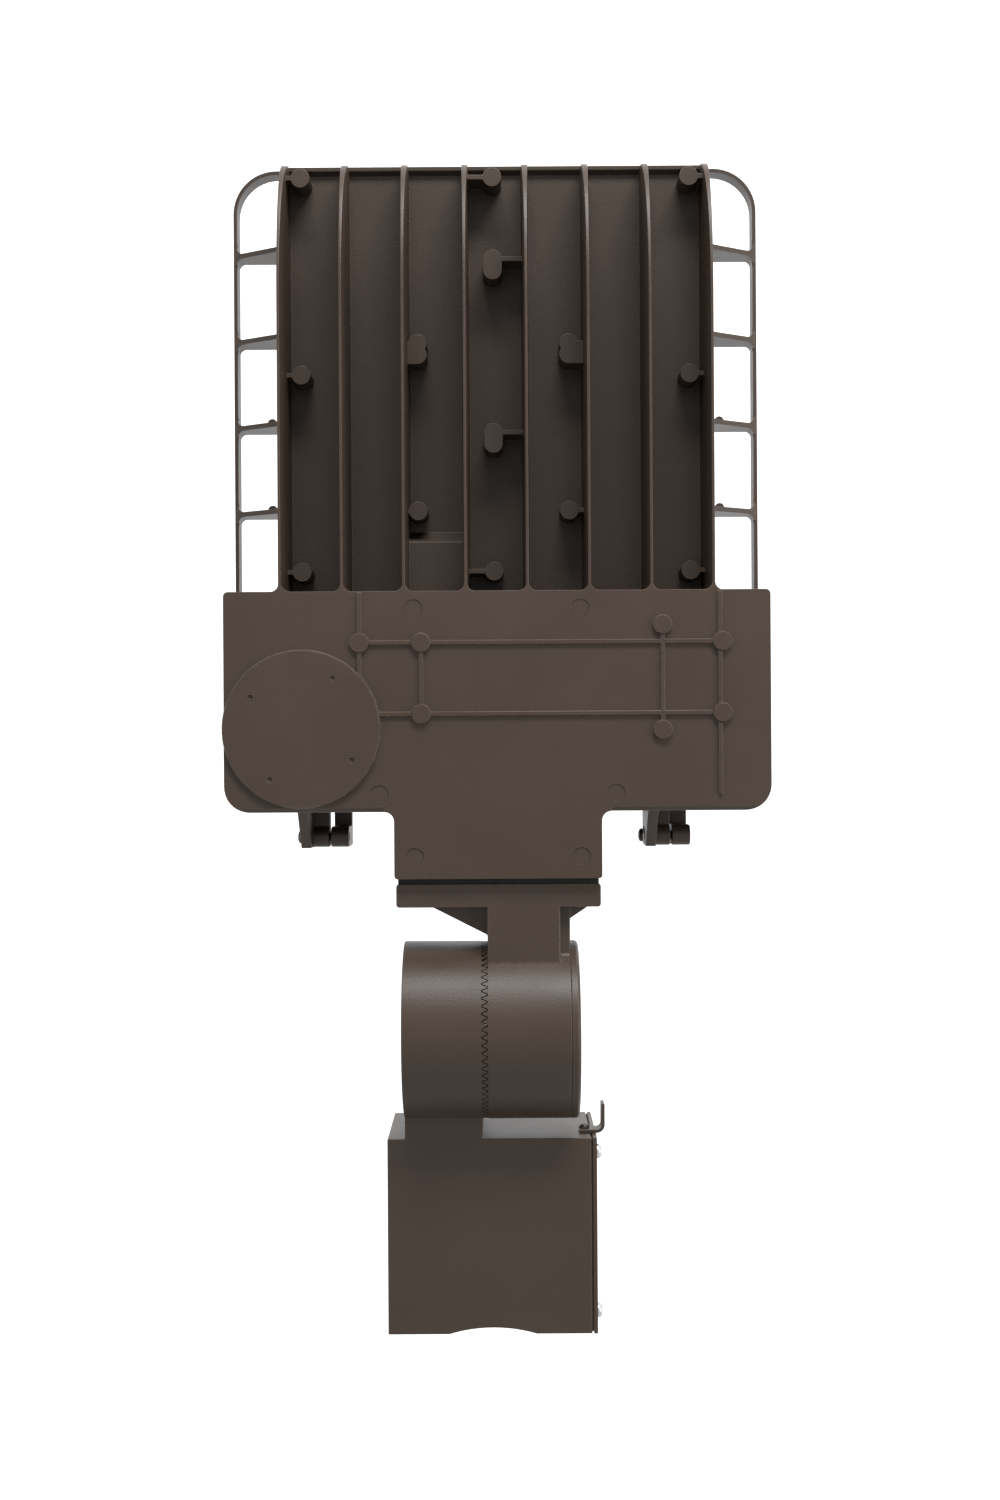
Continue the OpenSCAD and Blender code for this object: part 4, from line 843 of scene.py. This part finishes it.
bore = [(0, -1), (mouth + 1, -1), (mouth, 0), (hole, leadLen), (hole, nutHigh - leadLen), (mouth, nutHigh),
    (mouth + 1, nutHigh + 1), (0, nutHigh + 1)]
combine(nut, lathe("bore", bore, 32), "DIFFERENCE")
nut.data.transform(placed((1, 0, 0), (nutBox[0][0], axisY, axisZ), 90))
settle(nut, "knuckleNut")
smooth(nut, 25, weighted=False)
finishPiece(paint(nut, looks["zinc_steel"]), "knuckle_nut")

length = boltBox[0][1] - boltBox[0][0] - boltLook["headH"]
bolt = hexPiece("knuckleBolt", boltLook["flats"], boltLook["ringH"], boltLook["headH"], "high")
shank, z = boltLook["shankR"], -length + boltLook["threadLen"]
root = shank - boltLook["threadDeep"]
ringR, ringTop = boltLook["ringShare"] * boltLook["flats"] / 2, boltLook["ringH"] + 0.05
profile = [(0, ringTop), (ringR, ringTop), (ringR, 0), (shank, 0), (shank, z)]
while z > -length + boltLook["pointLen"]:
    profile += [(root, z - boltLook["rootAt"]), (shank, z - boltLook["crestAt"])]
    z -= boltLook["pitch"]
    profile.append((shank, z))
profile += [(shank - 1.3, -length), (0, -length)]
bolt = join("knuckleBolt", [bolt, lathe("shank", profile, 40)])
bolt.data.transform(placed((1, 0, 0), (boltBox[0][0] + length, axisY, axisZ), 90))
smooth(bolt, 25, weighted=False)
finishPiece(paint(bolt, looks["zinc_steel"]), "knuckle_bolt")
for name, node in (("knuckleWasher", "knuckle_washer"), ("hingeWashers", "hinge_washers")):
    piece = copyNode(node, name)
    roundEdges(piece, 0.25, 2)
    smooth(piece)
    finishPiece(paint(piece, looks[slotOf[node]]), node)
print("bolt, nut and washers made")


def standsUp(edge):
    return abs((edge.verts[0].co - edge.verts[1].co).z) > 0.01 * mm


# Light sources: a ceramic tile with a low phosphor dome, copied to each place
ceramicLook = {"dark": (0.76, 0.75, 0.70), "light": (0.82, 0.81, 0.76), "rough": (0.4, 0.5), "bump": 0.08}
tinnedLook = {"dark": (0.60, 0.60, 0.58), "light": (0.74, 0.74, 0.72), "rough": (0.25, 0.4),
    "metal": 1.0, "bump": 0.2, "toneScale": 400, "peel": 2500}
copperLook = {"dark": (0.56, 0.60, 0.54), "light": (0.62, 0.66, 0.59), "rough": (0.35, 0.45), "bump": 0.1}
ceramic = surface("ceramicTile", ceramicLook)
tinned = surface("tinnedPad", tinnedLook)
maskedCopper = surface("maskedCopper", copperLook)
tileLook = {"half": 2.5, "thick": 0.42, "rounding": 0.12, "domeR": 1.95, "domeH": 0.28}
runLook = {"half": 1.3, "rise": 0.06, "fromTile": 3.2, "corner": 0.5}
padLook = {"fromMiddle": 2.9, "half": (0.45, 1.5)}


def makeTile():
    half, thick = tileLook["half"], tileLook["thick"]
    tile = bar("tile", (-half, -half, -thick), (half, half, 0))
    openMesh(tile, "EDGE")
    bpy.ops.mesh.select_all(action="SELECT")
    bpy.ops.mesh.bevel(offset=tileLook["rounding"] * mm, segments=2, affect="EDGES")
    closeMesh()
    return paint(tile, ceramic)


def makeDome():
    thick, r, h = tileLook["thick"], tileLook["domeR"], tileLook["domeH"]
    angles = [math.radians(a) for a in (0, 18, 36, 54, 72, 86)]
    bulge = [(r * math.sin(a), -thick - h * math.cos(a)) for a in angles]
    dome = lathe("dome", bulge + [(r, -thick + 0.05), (0, -thick + 0.05)], 24)
    return paint(dome, looks["emitter_yellow"])


# A flat copper run under the solder mask, between two tiles of a column
def makeRun(x, near, far, top):
    half, clear = runLook["half"], runLook["fromTile"]
    run = bar("run", (x - half, near + clear, top - runLook["rise"]), (x + half, far - clear, top + 0.01))
    openMesh(run, "EDGE")
    pickEdges(run, standsUp)
    bpy.ops.mesh.bevel(offset=runLook["corner"] * mm, segments=3, affect="EDGES")
    closeMesh()
    return paint(run, maskedCopper)


def makePad(x, y, top):
    halfX, halfY = padLook["half"]
    pad = bar("pad", (x - halfX, y - halfY, top - runLook["rise"]), (x + halfX, y + halfY, top + 0.01))
    return paint(pad, tinned)


for side in ("left", "right"):
    boxes = solidBoxes("led_emitters_" + side)
    top = boxes[0][2][1]
    model = join("package", [makeTile(), makeDome()])
    places = [Vector((sum(box[0]) / 2, sum(box[1]) / 2, top)) for box in boxes]
    copies = [twin(model, Matrix.Translation(place * mm)) for place in places]
    bpy.data.objects.remove(model)
    piece = join("lightSources" + side.title(), copies)
    smooth(piece, 35, weighted=False)
    finishPiece(piece, "led_emitters_" + side)

    # Runs from tile to tile along each column, and a tinned pad at each side of a tile
    columns = {}
    for box in boxes:
        columns.setdefault(round(sum(box[0]) / 2, 1), []).append(sum(box[1]) / 2)
    copies = []
    for x, column in columns.items():
        column.sort()
        copies += [makeRun(x, near, far, top) for near, far in zip(column, column[1:])]
        offset = padLook["fromMiddle"]
        copies += [makePad(padX, y, top) for y in column for padX in (x - offset, x + offset)]
    piece = join("boardRuns" + side.title(), copies)
    smooth(piece, 35, weighted=False)
    finishPiece(piece, "led_board_" + side, stands=False)
print("light sources made")


# Driver: small screws and a lead bushing at each end of the case, but no leads
endLook = {"screwY": (-25, 25), "screwZ": (30, 54), "bushingZ": 44, "turn": 25}
endScrew = {**panLook, "headR": 2.2, "headH": 1.3, "shankR": 1.2, "length": 4}
bushingOutline = [(2.6, -1), (2.6, 1.4), (3.0, 2.0), (4.6, 2.0), (5.2, 1.5), (5.2, -1)]
for end in (-1, 1):
    x = caseLook["x"] + end * caseLook["half"]
    for y in endLook["screwY"]:
        for z in endLook["screwZ"]:
            model = makeScrew(endScrew)
            turn = endLook["turn"] * end + y + z
            model.data.transform(placed((end, 0, 0), (x, caseLook["y"] + y, z), turn))
            smooth(model, 40, weighted=False)
            settle(model, "driverEndScrew")
            finishPiece(paint(model, looks["zinc_steel"]), "driver_screws", stands=False)
    bushing = lathe("leadBushing", bushingOutline, 24)
    bushing.data.transform(placed((end, 0, 0), (x, caseLook["y"], endLook["bushingZ"])))
    smooth(bushing, 40, weighted=False)
    finishPiece(paint(bushing, looks["dark_rubber"]), "led_driver", stands=False)
print("driver dressed")


# Terminal block: three poles with square wire entries and slotted clamp screws
poleLook = {"pitch": 7.2, "entryHalf": 2.2, "entryZ": (3.5, 9), "entryDeep": 4.5, "wellR": 2.7,
    "wellDeep": 1.4, "turn": (30, 50)}
clampLook = {**slotLook, "form": "low", "headR": 2.4, "headH": 1.0, "shankR": 1.3, "length": 4}
block = bpy.data.objects["terminalBody"]
blockX, blockY, blockZ = solidBoxes("terminal_block")[0]
middleY, low = sum(blockY) / 2, blockZ[0]
poles = [sum(blockX) / 2 + step * poleLook["pitch"] for step in (-1, 0, 1)]
for x in poles:
    half = poleLook["entryHalf"]
    for y, way in ((blockY[0], 1), (blockY[1], -1)):
        near, far = sorted((y - way, y + way * poleLook["entryDeep"]))
        bottom, top = (low + height for height in poleLook["entryZ"])
        combine(block, bar("entry", (x - half, near, bottom), (x + half, far, top)), "DIFFERENCE")
    well = prism("well", 20, poleLook["wellR"], low - 1, low + poleLook["wellDeep"])
    well.data.transform(Matrix.Translation((x * mm, middleY * mm, 0)))
    combine(block, well, "DIFFERENCE")
clamps = []
for number, x in enumerate(poles):
    model = makeScrew(clampLook)
    turn = poleLook["turn"][0] + poleLook["turn"][1] * number
    seat = (x, middleY, low + poleLook["wellDeep"] - 0.05)
    model.data.transform(placed((0, 0, -1), seat, turn))
    clamps.append(model)
clamps = join("clampScrews", clamps)
smooth(clamps, 40, weighted=False)
finishPiece(paint(clamps, looks["zinc_steel"]), "terminal_block", stands=False)
smooth(block)
print("terminal block dressed")

# Any node that no piece stands for still gets its own material
replaced = {name for piece in bpy.data.objects for name in piece.get("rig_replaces", [])}
for node, part in nodes.items():
    if node not in replaced:
        print("not dressed:", node)
        paint(part, looks[slotOf[node]])


# Floor, lamps, world and camera
def whiteToViewer(tree, shaded, white):
    path = tree.nodes.new("ShaderNodeLightPath")
    first = addNode(tree, "ShaderNodeMath", operation="ADD")
    tree.links.new(path.outputs["Is Camera Ray"], first.inputs[0])
    tree.links.new(path.outputs["Is Glossy Ray"], first.inputs[1])
    total = addNode(tree, "ShaderNodeMath", operation="ADD")
    total.use_clamp = True
    tree.links.new(first.outputs[0], total.inputs[0])
    tree.links.new(path.outputs["Is Transmission Ray"], total.inputs[1])
    mix = tree.nodes.new("ShaderNodeMixShader")
    tree.links.new(total.outputs[0], mix.inputs["Fac"])
    tree.links.new(shaded, mix.inputs[1])
    tree.links.new(white, mix.inputs[2])
    return mix.outputs[0]


# A pale floor, in m, that keeps the shadow near the light and fades to white further out
floorLook = {"middle": (0, 0.4, -0.80), "size": 40.0, "colour": (0.80, 0.80, 0.80), "lift": 0.62,
    "fade": (1.4, 4.0)}
deselectAll()
bpy.ops.mesh.primitive_plane_add(size=floorLook["size"], location=floorLook["middle"])
studioFloor = settle(bpy.context.object, "studioFloor")
floorPaint = bpy.data.materials.new("paleFloor")
floorPaint.use_nodes = True
tree = floorPaint.node_tree
tree.nodes.remove(tree.nodes["Principled BSDF"])
matte = addNode(tree, "ShaderNodeBsdfDiffuse", Color=(*floorLook["colour"], 1))
glow = addNode(tree, "ShaderNodeEmission", Color=(1, 1, 1, 1))
spot = tree.nodes.new("ShaderNodeTexCoord")
reach = addNode(tree, "ShaderNodeVectorMath", operation="LENGTH")
fade = tree.nodes.new("ShaderNodeMapRange")
fade.inputs["From Min"].default_value = floorLook["fade"][0]
fade.inputs["From Max"].default_value = floorLook["fade"][1]
fade.inputs["To Min"].default_value = floorLook["lift"]
fade.inputs["To Max"].default_value = 1.0
tree.links.new(spot.outputs["Object"], reach.inputs[0])
tree.links.new(reach.outputs["Value"], fade.inputs["Value"])
tree.links.new(fade.outputs["Result"], glow.inputs["Strength"])
lifted = tree.nodes.new("ShaderNodeAddShader")
tree.links.new(matte.outputs[0], lifted.inputs[0])
tree.links.new(glow.outputs[0], lifted.inputs[1])
out = tree.nodes["Material Output"]
tree.links.new(whiteToViewer(tree, matte.outputs[0], lifted.outputs[0]), out.inputs["Surface"])
studioFloor.data.materials.append(floorPaint)

worldLook = {"soft": 0.25, "plain": 1.0}
world = bpy.data.worlds.new("studio")
bpy.context.scene.world = world
world.use_nodes = True
tree = world.node_tree
tree.nodes.clear()
soft = addNode(tree, "ShaderNodeBackground", Color=(1, 1, 1, 1), Strength=worldLook["soft"])
plain = addNode(tree, "ShaderNodeBackground", Color=(1, 1, 1, 1), Strength=worldLook["plain"])
out = tree.nodes.new("ShaderNodeOutputWorld")
tree.links.new(whiteToViewer(tree, soft.outputs[0], plain.outputs[0]), out.inputs["Surface"])

# Each softbox's place and target, width and height in m, and its power in W
lamps = {
    "farSoftbox": ((0.35, 2.4, 1.10), (0, 0.4, 0.0), 1.5, 0.6, 74),
    "nearSoftbox": ((0.0, -1.7, 0.9), (0, 0.3, 0.0), 1.8, 0.9, 2),
    "leftSoftbox": ((-1.9, 0.4, 1.0), (0, 0.4, 0.0), 1.6, 0.9, 7),
    "rightSoftbox": ((1.9, 0.5, 1.0), (0, 0.4, 0.0), 1.6, 0.9, 20),
}
for name, (place, target, width, height, power) in lamps.items():
    lamp = bpy.data.lights.new(name, "AREA")
    lamp.shape = "RECTANGLE"
    lamp.size = width
    lamp.size_y = height
    lamp.energy = power
    holder = bpy.data.objects.new(name, lamp)
    bpy.context.scene.collection.objects.link(holder)
    holder.location = place
    holder.rotation_euler = (Vector(target) - Vector(place)).to_track_quat("-Z", "Y").to_euler()

# The photograph's view, straight down with a slight turn
view = {"x": 6.45, "y": 363.5, "height": 1269, "turn": -0.35, "lens": 46.7}
camera = bpy.data.cameras.new("camera")
camera.lens = view["lens"]
camera.sensor_width = 36
camera.clip_end = 50
cameraHolder = bpy.data.objects.new("camera", camera)
bpy.context.scene.collection.objects.link(cameraHolder)
cameraHolder.location = (view["x"] * mm, view["y"] * mm, view["height"] * mm)
cameraHolder.rotation_euler = (0, 0, math.radians(view["turn"]))
bpy.context.scene.camera = cameraHolder
bpy.context.scene.view_settings.view_transform = "Standard"
print("studio set")
